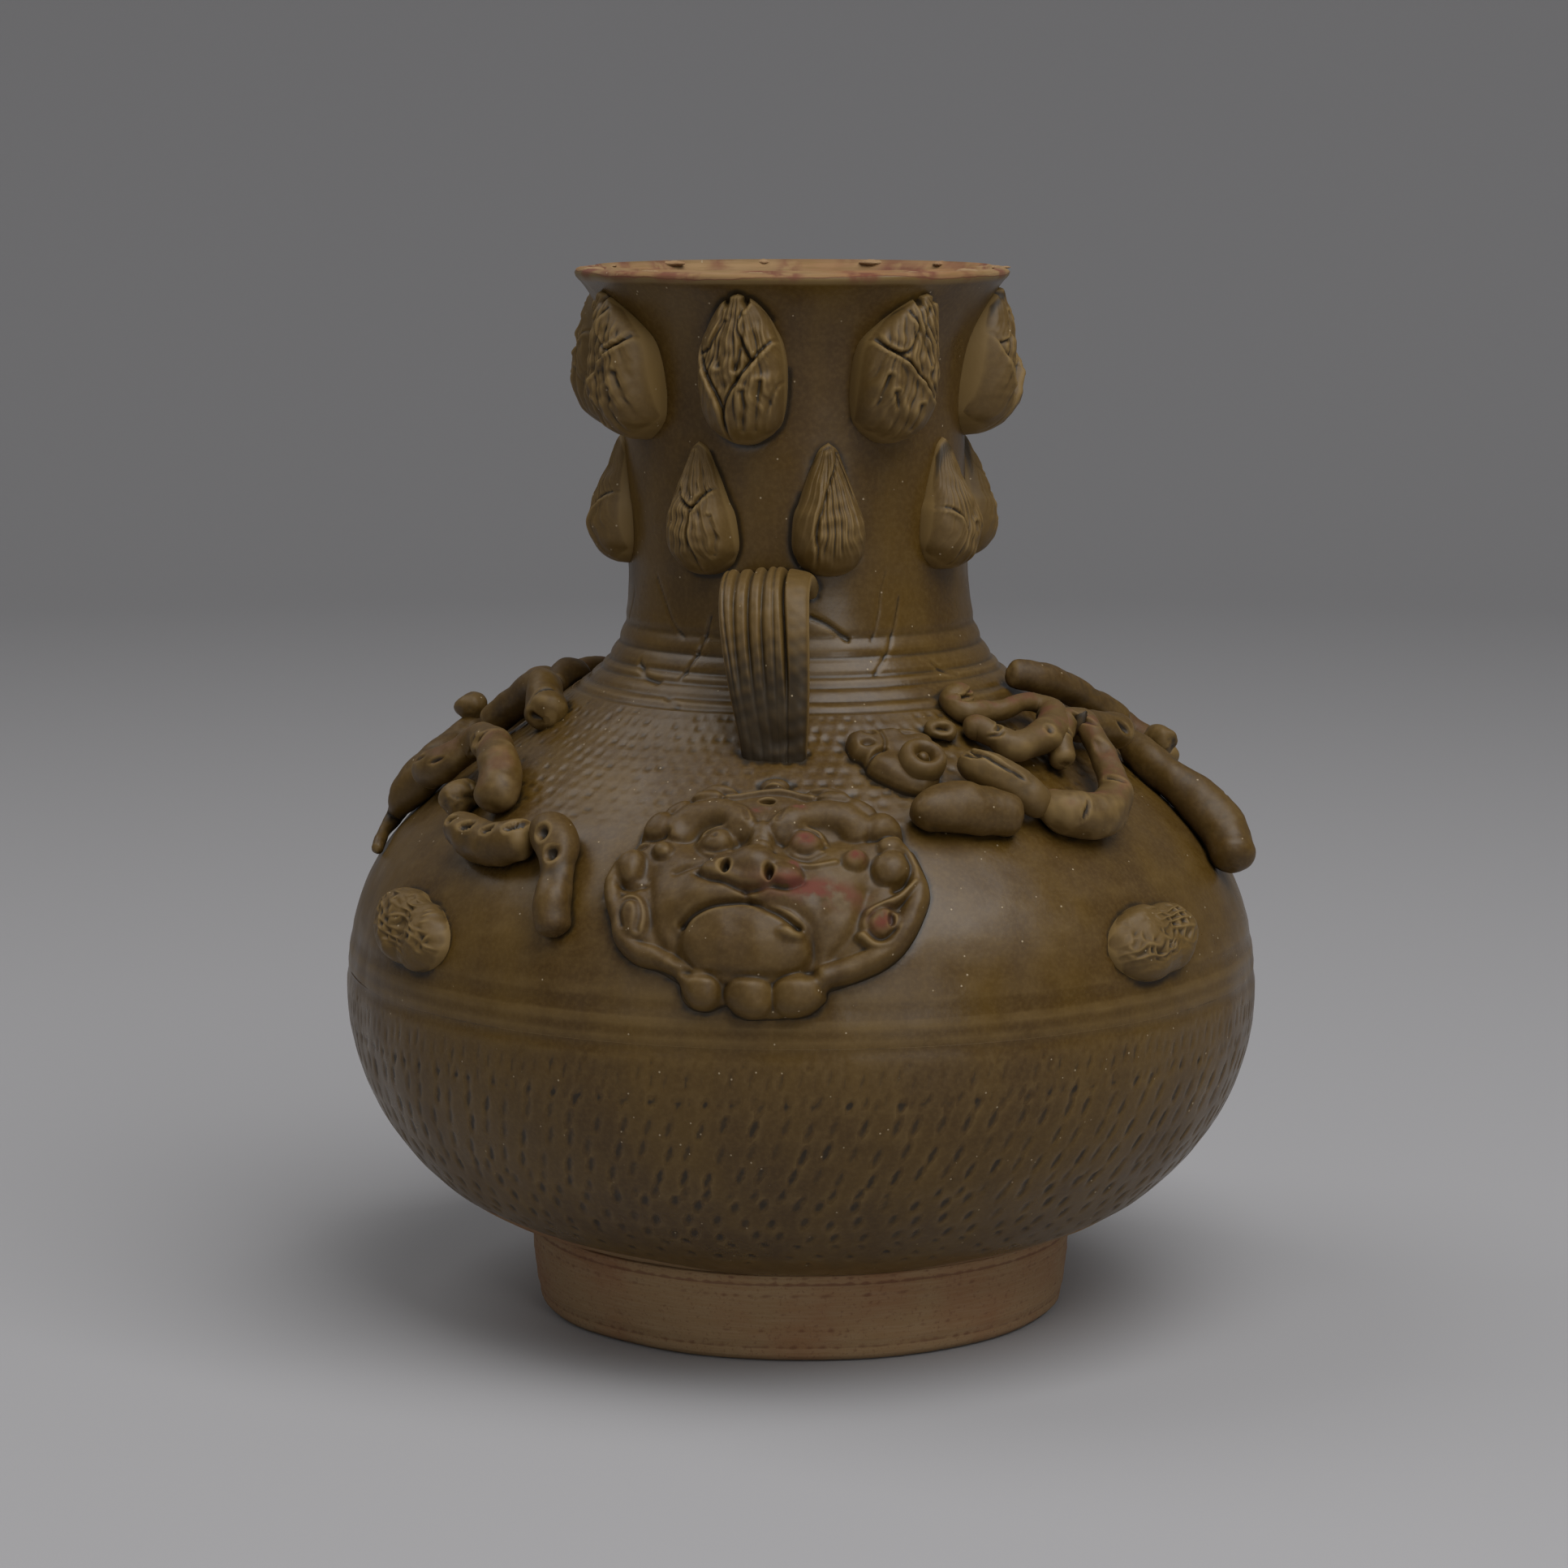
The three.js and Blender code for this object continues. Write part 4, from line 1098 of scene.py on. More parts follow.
def inside_of(x, y, corners):
    """Signed distance to a smooth closed outline: + inside."""
    line = smooth_path([*corners, corners[0]], 4)
    crossed = np.zeros(np.shape(x), int)
    for (ax, ay), (bx, by) in zip(line[:-1], line[1:]):
        spans = (ay > y) != (by > y)
        crossed += spans & (x < ax + (y - ay) * (bx - ax) / (by - ay + 1e-12))
    return np.where(crossed % 2 == 1, 1, -1) * gap_to(x, y, [*corners, corners[0]])


def line_mark(x, y, width, path):
    """1 on a smooth path, fading over its width."""
    return fade(gap_to(x, y, path), width)


def spots(x, y):
    """Places of a flat grid, as rumple takes them."""
    return np.stack([x, y, x * 0], -1)


print("height of a dome half way out:", round(float(mound(0.25)), 3))

# %% [markdown]
# A sprig's grid follows its outline and bends with the wall. Its edge goes down into the wall and
# is closed behind with a few rings, so that the sprig is one closed piece of clay.

# %% Grid and pressing
SPRIG_SINK = 1.8
BACK_RINGS = (1.0, 0.7, 0.35)
SIDES = (("front", 0.0), ("back", HALF_TURN))


def disc_grid(side):
    """A square grid squeezed into a unit disc."""
    a, b = np.meshgrid(np.linspace(-1, 1, side), np.linspace(-1, 1, side))
    return a * np.sqrt(1 - b * b / 2), b * np.sqrt(1 - a * a / 2)


def fill_outline(side, half_width, low, high):
    """Grid points inside an outline given by its half width at each height, and how near the edge."""
    u, v = disc_grid(side)
    y = low + (v + 1) / 2 * (high - low)
    x = half_width(y) * u / np.sqrt(np.maximum(1 - v * v, 1e-9))
    return x, y, np.clip(np.hypot(u, v), 0, 1)


def press_sprig(name, x, y, lift, angle, distance, tilt=0.0, radial=False, extra=None):
    """Lays a grid of heights on the wall and closes it behind."""
    side = len(x)
    c, s = math.cos(math.radians(tilt)), math.sin(math.radians(tilt))

    def to_wall(px, py, height):
        u = px * c - py * s
        v = px * s + py * c
        radius, level = wall(distance + v)
        turn = angle + np.degrees(u / radius)
        if not radial:
            return turned(*wall(distance + v, height), turn)
        return turned(radius + height, level, turn)

    walk = np.arange(side * side).reshape(side, side)
    rim = np.concatenate([walk[0, :-1], walk[:-1, -1], walk[-1, :0:-1], walk[:0:-1, 0]])
    quads = np.stack([walk[:-1, :-1], walk[:-1, 1:], walk[1:, 1:], walk[1:, :-1]], -1).reshape(-1, 4).tolist()
    points = [to_wall(x, y, lift).reshape(-1, 3)]
    edge_x, edge_y = x.ravel()[rim], y.ravel()[rim]
    count = len(rim)
    for share in BACK_RINGS:
        points.append(to_wall(edge_x * share, edge_y * share, -SPRIG_SINK))
    points.append(to_wall(np.zeros(1), np.full(1, edge_y.mean()), -SPRIG_SINK))
    first = side * side
    k = np.arange(count)
    n = (k + 1) % count
    faces = quads + np.stack([rim[k], rim[n], first + n, first + k], 1)[:, ::-1].tolist()
    for ring in range(1, len(BACK_RINGS) + 1):
        here = first + (ring - 1) * count
        beyond = 1 if ring == len(BACK_RINGS) else count
        faces += [face[::-1] for face in bridge(here, count, here + count, beyond)]
    hidden = np.zeros(count * len(BACK_RINGS) + 1)
    extra = {key: np.concatenate([np.ravel(values), hidden]) for key, values in (extra or {}).items()}
    return build(name, np.concatenate(points), faces, extra)


print("a sprig's back sits below the wall by mm:", SPRIG_SINK)

# %% [markdown]
# ### Garlic buds
# Each bud is a clove of garlic, blunt at the foot and jagged at the tip. A wrinkled core comes
# first, then leaves are wrapped over it: each leaf is a closed outline whose inside stands
# proud, with a lip and a groove along its edge. The upper row has a V of two leaves, or one
# leaf laid from the left or from the right. The lower row is smaller, with fine ribs from the tip.

# %% Shapes of the buds
HIGH_BUD = {
    "low": 286.0, "high": 335.5, "face": 73.4, "tip_face": 71.5, "fan_above": 12, "broad": 36, "fine": 88,
    "rib": 0.9, "sunk": 1.5, "under": 1.0,
    "notches": {"V": (-3.6, 2.5), "R": (3.2, 10.0)},
    "angles": [-8.5, 38, 91, 131, 171.5, 216.5, 261.5, 307.5],
    "lean": [0, 3, 5, -3, 0, 3, 2, -4],
    "kinds": "VRVLVRVL",
    "outline": [
        (0, 0), (0.01, 3.0), (0.04, 5.8), (0.085, 8.8), (0.177, 11.6), (0.35, 12.9), (0.5, 13.2),
        (0.627, 12.6), (0.75, 10.6), (0.843, 8.5), (0.93, 5.6), (0.97, 3.4), (1, 0),
    ],
}
LOW_BUD = {
    "low": 245.0, "high": 287.0, "face": 68.0, "tip_face": 59.0, "fan_above": 4, "broad": 44, "fine": 96,
    "rib": 0.6, "sunk": 0.4, "under": 0.0,
    "notches": {},
    "angles": [17, 64, 110, 152, 197, 240, 285, 335.5],
    "lean": [2, 3, 0, -3, 2, 4, 3, -3],
    "kinds": "rblrlbol",
    "outline": [
        (0, 0), (0.01, 3.6), (0.04, 6.4), (0.12, 9.6), (0.26, 11.2), (0.4, 10.9), (0.55, 9.0), (0.7, 7.0),
        (0.85, 4.6), (0.94, 3.0), (1, 0),
    ],
}
LEAVES = {
    "V": [
        [
            (4.6, 3.0), (2.6, 8.0), (0.9, 14.0), (2.6, 19.5), (4.4, 21.5), (8.0, 16.0), (10.5, 9.0),
            (8.5, 4.0),
        ],
        [
            (-7.4, 6.5), (-5.2, 13.0), (-4.8, 18.5), (-6.2, 21.5), (-10.0, 16.0), (-12.5, 9.0),
            (-10.5, 5.0),
        ],
        [(-3.2, -27), (-3.4, -14), (-5.0, -8), (-8.6, 0), (-12.3, 8.5), (-17, 6), (-17, -27)],
        [
            (-2.2, -27), (-2.4, -13), (-1.0, -8), (1.0, -4), (4.4, 1.8), (8.6, 7.2), (10.4, 8.6),
            (13.5, 6.0), (17, -5), (17, -27),
        ],
        [(7.0, -20), (8.4, -13), (11.6, -5), (15, -5), (17, -27)],
    ],
    "R": [
        [
            (-4.2, 17.4), (-1.6, 18.6), (1.2, 13.2), (-1.0, 6.6), (-3.6, 4.6), (-8.3, 7.4), (-9.6, 12.7),
            (-7.1, 16.6),
        ],
        [(8.2, 21.5), (10.6, 21.5), (13.5, 16.0), (14.5, 6.0), (11.5, 2.0), (9.6, 10.0)],
        [(7.4, -27), (8.4, -18), (9.6, -12), (11.2, -7), (14.4, -1), (18, -4), (18, -27)],
        [
            (-10.6, 8.2), (-7.5, 5.6), (-2.4, 2.0), (2.2, -3.6), (6.4, -9.0), (8.8, -11.4), (8.8, -17.0),
            (6.6, -24.0), (3.0, -29), (-17, -27), (-17, 5),
        ],
    ],
    "r": [
        [
            (1.6, 20), (1.6, 16), (-0.7, 9), (-3.0, 1.5), (-4.9, -6), (-4.5, -12), (-6.0, -22),
            (-16, -24), (-16, 10),
        ],
        [(2.4, 17.5), (5.0, 9.5), (8.0, 2.0), (11.0, -2.0), (15, 2), (9, 20)],
    ],
    "l": [
        [(-2.6, 19.0), (-3.7, 9.0), (-1.5, 3.0), (1.5, 1.2), (3.7, 5.2), (2.2, 12.7), (1.0, 19.0)],
        [(1.0, -0.5), (0.5, -6.0), (1.2, -13.0), (3.0, -24.0), (15, -24), (15, 2), (7, 6), (4, 4)],
    ],
    "b": [
        [
            (-16, -1.0), (-10, -1.2), (-7.4, -1.2), (-4.5, -3.4), (-3.0, -8.0), (-3.6, -13.0),
            (-5.5, -20.0), (-16, -22),
        ],
    ],
    "o": [[(16, 2.0), (8, 3.0), (3.6, -1.0), (2.0, -8.0), (3.0, -14.0), (7.0, -22.0), (16, -22)]],
}
FOLDS = {
    "V": [
        [(4.8, -19), (5.6, -12), (6.4, -4)],
        [(1.8, -19), (2.6, -12), (2.2, -7)],
        [(2.2, 17), (2.0, 8), (0.4, 0)],
        [(-3.0, 15), (-4.4, 7), (-4.4, 1)],
    ],
    "R": [
        [(-3.4, -21.0), (-3.2, -14), (-4.8, -8)],
        [(-8.5, -18), (-8.2, -10), (-7.0, -3)],
        [(1.6, -19), (2.4, -12)],
        [(6.4, 19), (4.4, 11), (5.6, 1)],
        [(9.0, 8), (8.6, 0), (9.6, -6)],
    ],
    "l": [[(6.5, -2), (7.5, -8), (6.5, -14)]],
    "b": [[(2.0, -6), (1.5, -14), (2.5, -19)]],
    "r": [],
    "o": [],
}
print("kinds of bud:", ", ".join(LEAVES))

# %% [markdown]
# The ribs fan out from a point above the tip, so they close up towards it. The core comes first,
# sunk where leaves will lie over it, then each leaf, then the folds, and last the wrinkles.

# %% Garlic buds
BUD_SIDE = 104
BUD_SEED = 100
HIDDEN_LIFT = -1.2


def bud_height(row, kind, seed):
    """Grid and heights of one bud."""
    half = (row["high"] - row["low"]) / 2
    share, widths = smooth_path(row["outline"], 10).T
    mirror = -1.0 if kind == "L" else 1.0
    kind = "R" if kind == "L" else kind

    def half_width(y):
        return np.interp((y + half) / half / 2, share, np.maximum(widths, 0.02))

    dx, y, part = fill_outline(BUD_SIDE, half_width, -half, half)
    if kind == "R":
        dx = dx + 7.0 * ease(y, 5, 26)
    spot = spots(dx, y)
    wobble = rumple(spot, 9.0, seed)
    face = row["face"] + (row["tip_face"] - row["face"]) * ease(y, -half * 0.5, half)
    to_face = np.maximum(face - wall(along((row["high"] + row["low"]) / 2) + y)[0], 1.5)
    flat = np.clip(1 - part ** 3.2, 0, 1)
    base = 0.2 + to_face * np.sqrt(flat)
    fan = np.arctan2(dx, half + row["fan_above"] - y)
    broad = np.abs(np.sin(fan * row["broad"] + 0.8 * wobble))
    fine = np.abs(np.sin(fan * row["fine"] + 1.5 * wobble))
    ribs = row["rib"] * (broad - 0.64) + 0.35 * (fine - 0.64)
    kept = flat * ease(y, -half * 0.98, -half * 0.5)
    lift = base + (ribs - row["sunk"]) * kept
    for notch in row["notches"].get(kind, ()):
        lift -= 5.0 * bell(dx, y, notch, 22.6, 0.9, 2.2)
    for i, leaf in enumerate(LEAVES[kind]):
        inside = inside_of(dx, y, leaf)
        rise = ease(inside, -0.3, 0.4)
        under = row["under"] if i < 2 else 0.0
        proud = 0.7 * ribs + 0.5 * np.sin(fan * 26 + wobble) - under + 0.7 * fade(inside - 0.9, 0.8)
        lift = lift * (1 - rise) + (base + proud * flat) * rise - 1.15 * fade(inside + 0.45, 0.55) * flat
    for path in FOLDS[kind]:
        mark = gap_to(dx, y, path)
        lift += (0.5 * fade(mark - 1.5, 0.9) - 0.95 * fade(mark, 0.65)) * flat
    lift += (0.35 * wobble + 0.28 * rumple(spot, 4.5, seed + 50)) * flat
    return dx * mirror, y, np.maximum(lift, HIDDEN_LIFT)


for level, row in (("high", HIGH_BUD), ("low", LOW_BUD)):
    middle = float(along((row["high"] + row["low"]) / 2))
    for i, (angle, lean, kind) in enumerate(zip(row["angles"], row["lean"], row["kinds"])):
        name = f"garlic_bud_{level}_{i + 1}"
        x, y, lift = bud_height(row, kind, BUD_SEED + i)
        bud = press_sprig(name, x, y, lift, angle, middle, -lean, radial=True)
        settle(bud, "pale_glaze", name, material=pale_glaze, reach=0.7, laid_on=True)

# %% [markdown]
# ### Lion masks
# The mask is a lion's head from a mould: bulging eyes under heavy brows, a broad nose with
# punched nostrils, cheeks that hang over a mouth turned down, a big chin, a mane of rolled
# lobes and a beard. Swellings give the soft masses. Domes and rolls are then set on them
# like pellets and ropes of clay, each joined by a soft crease, and grooves are the knife's.

# %% Features of the mask
MASK_HALF_WIDTHS = [
    (-45, 0), (-44, 13), (-41, 21), (-37, 27), (-33, 34), (-29, 42), (-24, 47.5), (-18, 51), (-8, 54),
    (2, 53), (10, 49), (20, 42), (28, 34), (36, 25), (42, 14), (44.5, 0),
]
MASK_EDGE = [
    (-9.0, 34.0), (0, 36.5), (9.0, 35.2), (18.2, 34.6), (26.5, 31.2), (34.1, 25.0), (40.4, 18.4),
    (42.6, 10.4), (45.4, 5.0), (48.6, -1.0), (50.4, -7.0), (48.6, -13.5), (45.4, -20.2), (41.1, -25.4),
    (35.0, -29.3), (28.0, -32.0), (20.8, -34.0), (20.4, -37.4), (16.6, -40.4), (11.2, -42.2),
    (4.8, -43.0), (-1.8, -42.8), (-6.4, -41.0), (-9.6, -39.2), (-14.6, -41.0), (-19.2, -40.0),
    (-22.4, -36.2), (-24.6, -31.8), (-29.4, -29.6), (-36.0, -28.8), (-41.0, -26.2), (-44.6, -22.0),
    (-46.2, -16.0), (-48.8, -10.2), (-49.6, -5.0), (-47.8, 0.0), (-44.8, 5.4), (-41.0, 10.0),
    (-38.8, 16.4), (-35.4, 22.4), (-28.6, 27.6), (-22.8, 32.0), (-16.6, 35.8),
]
MASK_SWELLS = [
    (-2, -3, 30, 29, 3.2), (-15.5, -8.2, 10.5, 5.4, 24, 3.4), (11.0, -10.2, 12.0, 5.4, -27, 3.4),
    (-22.5, -5.5, 9, 9, 1.4), (20.5, -5.0, 10, 9, 1.4), (-0.5, 21, 10, 7, 1.8),
    (-21, 13.5, 6.5, 4.8, -2.8), (20, 14.3, 6.5, 4.5, -2.6), (-7.4, 10.6, 2.8, 3.8, -2.0),
    (5.6, 11, 2.6, 4.0, -2.0), (-14.6, 10.7, 7, 6, -1.0), (11.8, 10.3, 7, 6, -1.0),
    (-31.5, -1.0, 4, 5, -1.2), (31.5, -3.0, 4, 5, -1.2), (-28.0, -26.5, 7, 4, -1.2),
    (24.0, -27.0, 9, 3.6, -1.4),
]
MASK_DOMES = [
    (-3.6, -21.8, 19.0, 11.4, 0, 4.6), (-2.9, 0.2, 14.0, 6.4, -3, 3.8), (-3.0, 2.2, 7.6, 5.6, 0, 5.8),
    (-13.2, -0.6, 4.8, 3.8, 12, 4.2), (6.8, -2.2, 5.0, 4.0, -10, 4.4), (-14.6, 10.7, 5.2, 4.5, 0, 4.5),
    (11.8, 10.3, 5.2, 4.6, 0, 4.5), (8.6, -19.6, 5.2, 2.6, -8, 5.4), (-33.4, 17.0, 5.6, 4.6, 40, 3.4),
    (-30.7, 7.1, 3.2, 3.1, 0, 3.0), (-40.6, 1.4, 4.6, 6.2, -8, 4.2), (-38.6, -15.2, 5.6, 7.2, 8, 3.6),
    (-16.4, 33.2, 7.0, 3.0, 12, 2.8), (-18.9, 28.6, 5.2, 2.6, 12, 3.4), (19.2, 28.8, 5.6, 2.8, -10, 3.4),
    (17.6, 33.6, 6.8, 2.8, -8, 2.8), (27.0, 24.6, 5.6, 4.2, -35, 2.8), (34.8, 17.6, 6.2, 5.4, 0, 3.6),
    (37.4, 9.6, 4.4, 4.2, 10, 3.8), (37.6, 1.8, 5.8, 5.6, 0, 4.8), (26.5, 4.3, 3.5, 3.6, 0, 3.2),
    (35.2, -15.4, 6.0, 5.8, 0, 3.2), (-17.4, -35.0, 6.6, 6.2, -14, 4.4), (-2.4, -36.6, 7.2, 6.8, 0, 5.0),
    (11.6, -36.0, 7.6, 6.6, 6, 4.8), (0.6, 38.0, 5.0, 3.8, 0, 4.2), (-27.5, 24.0, 4.6, 3.2, 35, 2.4),
]
MASK_ROLLS = [
    (4.6, 3.4, [(-26.5, 16.0), (-22.5, 21.0), (-15.8, 23.0), (-10.2, 21.2), (-7.4, 16.0)]),
    (4.8, 3.6, [(5.4, 15.6), (9.0, 20.4), (15.3, 22.6), (22.9, 21.2), (27.0, 17.0)]),
    (3.6, 2.4, [(-1.2, 6.0), (-1.1, 10.0), (-1.0, 13.5)]),
    (0.9, 1.9, [(-20.2, 11.0), (-18.4, 14.9), (-14.6, 15.9), (-10.8, 14.7), (-9.0, 11.0)]),
    (0.7, 1.3, [(-20.0, 9.6), (-17.4, 6.1), (-13.6, 5.4), (-9.6, 7.2)]),
    (0.9, 1.9, [(6.2, 10.8), (7.8, 14.7), (11.8, 15.7), (15.8, 14.7), (17.6, 11.0)]),
    (0.7, 1.3, [(6.3, 9.0), (9.0, 5.7), (13.0, 5.0), (17.0, 7.2)]),
    (3.4, 2.8, [
        (-43.6, 4.6), (-45.6, -1.5), (-46.4, -6.5), (-45.2, -11.5), (-43.4, -17.0), (-41.8, -21.6),
        (-37.5, -25.2), (-31.5, -26.4), (-26.5, -28.4), (-21.0, -31.5),
    ]),
    (4.0, 3.0, [
        (42.0, 8.0), (44.8, 2.0), (46.9, -5.0), (45.6, -11.5), (43.0, -17.6), (39.4, -22.6),
        (34.0, -26.2), (27.0, -28.9), (20.0, -31.0),
    ]),
    (1.5, 3.4, [(44.5, -4.0), (40.4, -8.4), (36.0, -10.6), (31.5, -12.6)]),
    (1.5, 3.0, [(41.0, -17.0), (38.4, -21.6), (33.5, -22.3), (29.5, -19.5)]),
    (1.3, 1.6, [(-12.5, 29.0), (-5.2, 31.4), (0.6, 32.2), (6.5, 31.6), (12.5, 29.4)]),
    (0.9, 1.1, [(4.6, 5.2), (9.5, 2.6), (15.5, 1.8), (21.0, 3.4)]),
]
MASK_GROOVES = [
    (1.0, 2.8, [
        (-22.6, -17.0), (-19.6, -14.4), (-14.6, -12.0), (-9.0, -10.6), (-4.6, -9.8), (-2.0, -10.4),
        (1.8, -12.2), (6.5, -14.6), (11.2, -18.0),
    ]),
    (1.6, 1.4, [(-22.6, -17.0), (-24.6, -21.5), (-24.0, -26.5), (-20.5, -30.0)]),
    (1.5, 1.4, [(11.2, -18.0), (14.8, -21.0), (16.0, -26.0), (14.0, -30.0)]),
    (0.8, 0.9, [(-4.6, -6.4), (-3.4, -9.6)]),
    (0.9, 1.5, [
        (-19.0, -1.8), (-14.6, -4.0), (-9.9, -5.2), (-5.2, -6.8), (-1.5, -6.6), (2.6, -5.4), (7.5, -6.6),
        (12.0, -4.4),
    ]),
    (0.9, 1.0, [(-26.0, -1.2), (-20.0, 1.0), (-15.0, 3.0)]),
    (0.5, 0.5, [(-4.0, 9.4), (-1.2, 10.0), (1.8, 9.4)]),
    (0.6, 0.8, [(-5.5, 17.0), (-6.5, 21.0)]),
    (0.6, 0.8, [(3.4, 16.5), (4.6, 21.5)]),
    (0.5, 0.5, [(0.0, 18.0), (0.6, 23.0)]),
    (2.0, 1.2, [(-34.5, -3.0), (-33.0, -12.0), (-31.5, -19.0), (-28.0, -24.0)]),
    (2.0, 1.2, [(31.0, -6.0), (29.0, -13.0), (27.0, -19.0), (22.5, -24.4)]),
    (1.2, 1.3, [
        (-25.0, -30.0), (-16.8, -30.6), (-8.2, -30.6), (-0.2, -30.9), (8.2, -30.6), (16.0, -29.6),
    ]),
    (0.7, 1.4, [
        (-36.0, -19.2), (-35.4, -14.2), (-37.0, -10.8), (-40.0, -10.8), (-41.6, -14.4), (-40.8, -18.2),
    ]),
    (0.7, 1.5, [
        (39.4, -12.4), (36.2, -11.2), (32.6, -12.6), (31.2, -16.0), (32.8, -19.3), (36.2, -20.2),
        (39.2, -18.0),
    ]),
    (0.9, 1.8, [(41.4, 6.0), (43.4, 0.6), (42.2, -3.6), (39.0, -5.2)]),
    (0.8, 1.3, [(-36.6, 9.6), (-39.6, 7.6), (-44.2, 3.0)]),
    (0.8, 1.2, [(-43.4, -5.6), (-39.6, -6.4), (-35.6, -5.0)]),
    (0.8, 1.2, [(-40.4, 12.0), (-34.6, 11.6), (-29.4, 13.6)]),
    (0.8, 1.2, [(30.0, 12.4), (34.0, 12.6), (40.6, 13.6)]),
]
MASK_HOLES = [
    (-10.4, -0.4, 1.3, 2.1, 4.4), (2.2, -2.2, 1.3, 2.0, 4.4), (-0.6, 27.3, 2.0, 1.5, 3.4),
    (38.0, -15.0, 1.2, 2.0, 2.4),
]
MASK_PUPILS = [(-14.6, 10.9), (11.8, 10.5)]
MASK_SORES = [
    (15.5, -6.4, 12.0, 3.3, -6), (9.0, 1.4, 1.2, 1.6, 20), (11.8, 10.3, 2.6, 2.2, 0),
    (27.0, 4.6, 2.0, 1.8, 0), (34.6, -15.2, 2.6, 2.6, 0), (-2.5, 23.0, 1.8, 1.3, 0),
    (8.8, 22.4, 1.7, 1.6, 0),
]
print("domes, rolls and grooves of the mask:", len(MASK_DOMES), len(MASK_ROLLS), len(MASK_GROOVES))

# %% [markdown]
# The heights are built up in the modeller's order: a slab with a rounded edge, the swellings,
# domes and rolls merged on to it, then the grooves. The whole is softened as a coat of glaze does,
# and the holes are punched last, so that they stay sharp. The front mask also has red patches.

# %% Lion masks
MASK_ANGLE = 1.3
MASK_MIDDLE = 193.0
MASK_SIDE = 270
MASK_SLAB = 3.6
MASK_ROUNDING = 4.2
PUPIL_RADIUS = 0.9


def soften(grid, rounds):
    """Blurs a grid of heights, as a coat of glaze does."""
    for _ in range(rounds):
        padded = np.pad(grid, 1, "edge")
        grid = (padded[:-2, 1:-1] + padded[2:, 1:-1] + padded[1:-1, :-2] + padded[1:-1, 2:] + 2 * grid) / 6
    return grid


def merge(first, second, width):
    """The higher of two surfaces, with a soft crease where they meet."""
    near = np.clip(1 - np.abs(first - second) / width, 0, 1)
    return np.maximum(first, second) + near ** 2 * width / 4


def mask_height():
    heights, widths = np.array(MASK_HALF_WIDTHS, float).T
    low, high = heights[0], heights[-1]
    fine = np.linspace(low, high, 400)
    reach = np.sqrt(np.clip((fine - low) * (high - fine), 0, None)) * 3
    level = np.minimum(np.interp(fine, heights, widths), reach)

    def half_width(y):
        return np.interp(y, fine, level)

    x, y, _ = fill_outline(MASK_SIDE, half_width, low, high)
    edge = inside_of(x, y, MASK_EDGE)
    slab = np.sqrt(np.clip(1 - np.clip(1 - edge / MASK_ROUNDING, 0, 1) ** 2, 0, 1))
    mass = HIDDEN_LIFT + (MASK_SLAB - HIDDEN_LIFT) * slab
    mass += ease(edge, 0, 9) * sum(up * bell(x, y, *place) for *place, up in MASK_SWELLS)
    lift = mass.copy()
    for *place, up in MASK_DOMES:
        lift = merge(lift, mass + up * mound(oval(x, y, *place)), 1.0)
    for width, up, path in MASK_ROLLS:
        lift = merge(lift, mass + up * mound((gap_to(x, y, path) / width) ** 2), 1.0)
    for width, deep, path in MASK_GROOVES:
        lift -= deep * line_mark(x, y, width, path)
    lift = soften(lift, 5)
    for *place, deep in MASK_HOLES:
        lift -= deep * punch(x, y, *place)
    for at_x, at_y in MASK_PUPILS:
        lift -= 0.7 * bell(x, y, at_x, at_y, PUPIL_RADIUS, PUPIL_RADIUS)
    spot = spots(x, y)
    lift += (0.3 * rumple(spot, 11.0, 77) + 0.06 * rumple(spot, 4.0, 78)) * ease(lift, 0, 2)
    sore = sum(bell(x, y, *place) for place in MASK_SORES)
    return x, y, np.maximum(lift, HIDDEN_LIFT), np.clip(1.4 * sore, 0, 0.9)


mask_x, mask_y, mask_lift, mask_sore = mask_height()
for side, turn in SIDES:
    rubbed = {"rubbed": mask_sore if side == "front" else mask_sore * 0}
    name = f"lion_mask_{side}"
    mask = press_sprig(name, mask_x, mask_y, mask_lift, MASK_ANGLE + turn, MASK_MIDDLE, extra=rubbed)
    settle(mask, "glaze", name, material=glaze, reach=0.9, laid_on=True)

# %% [markdown]
# ### Peanuts
# A peanut's shell is a net of ridges with pits between. Lengthwise ridges bend round the two
# lobes and short cross ridges tie them, each row half a step on from the next. The lower side
# was rubbed nearly smooth when the peanut was pressed on.

# %% Peanuts
PEANUT = {
    "length": 44.0, "width": 24.0, "relief": 8.5, "height": 137.0, "angles": [-51, 55.3], "tilts": [-8, 4],
}
PEANUT_SIDE = 130
PEANUT_SEED = 20


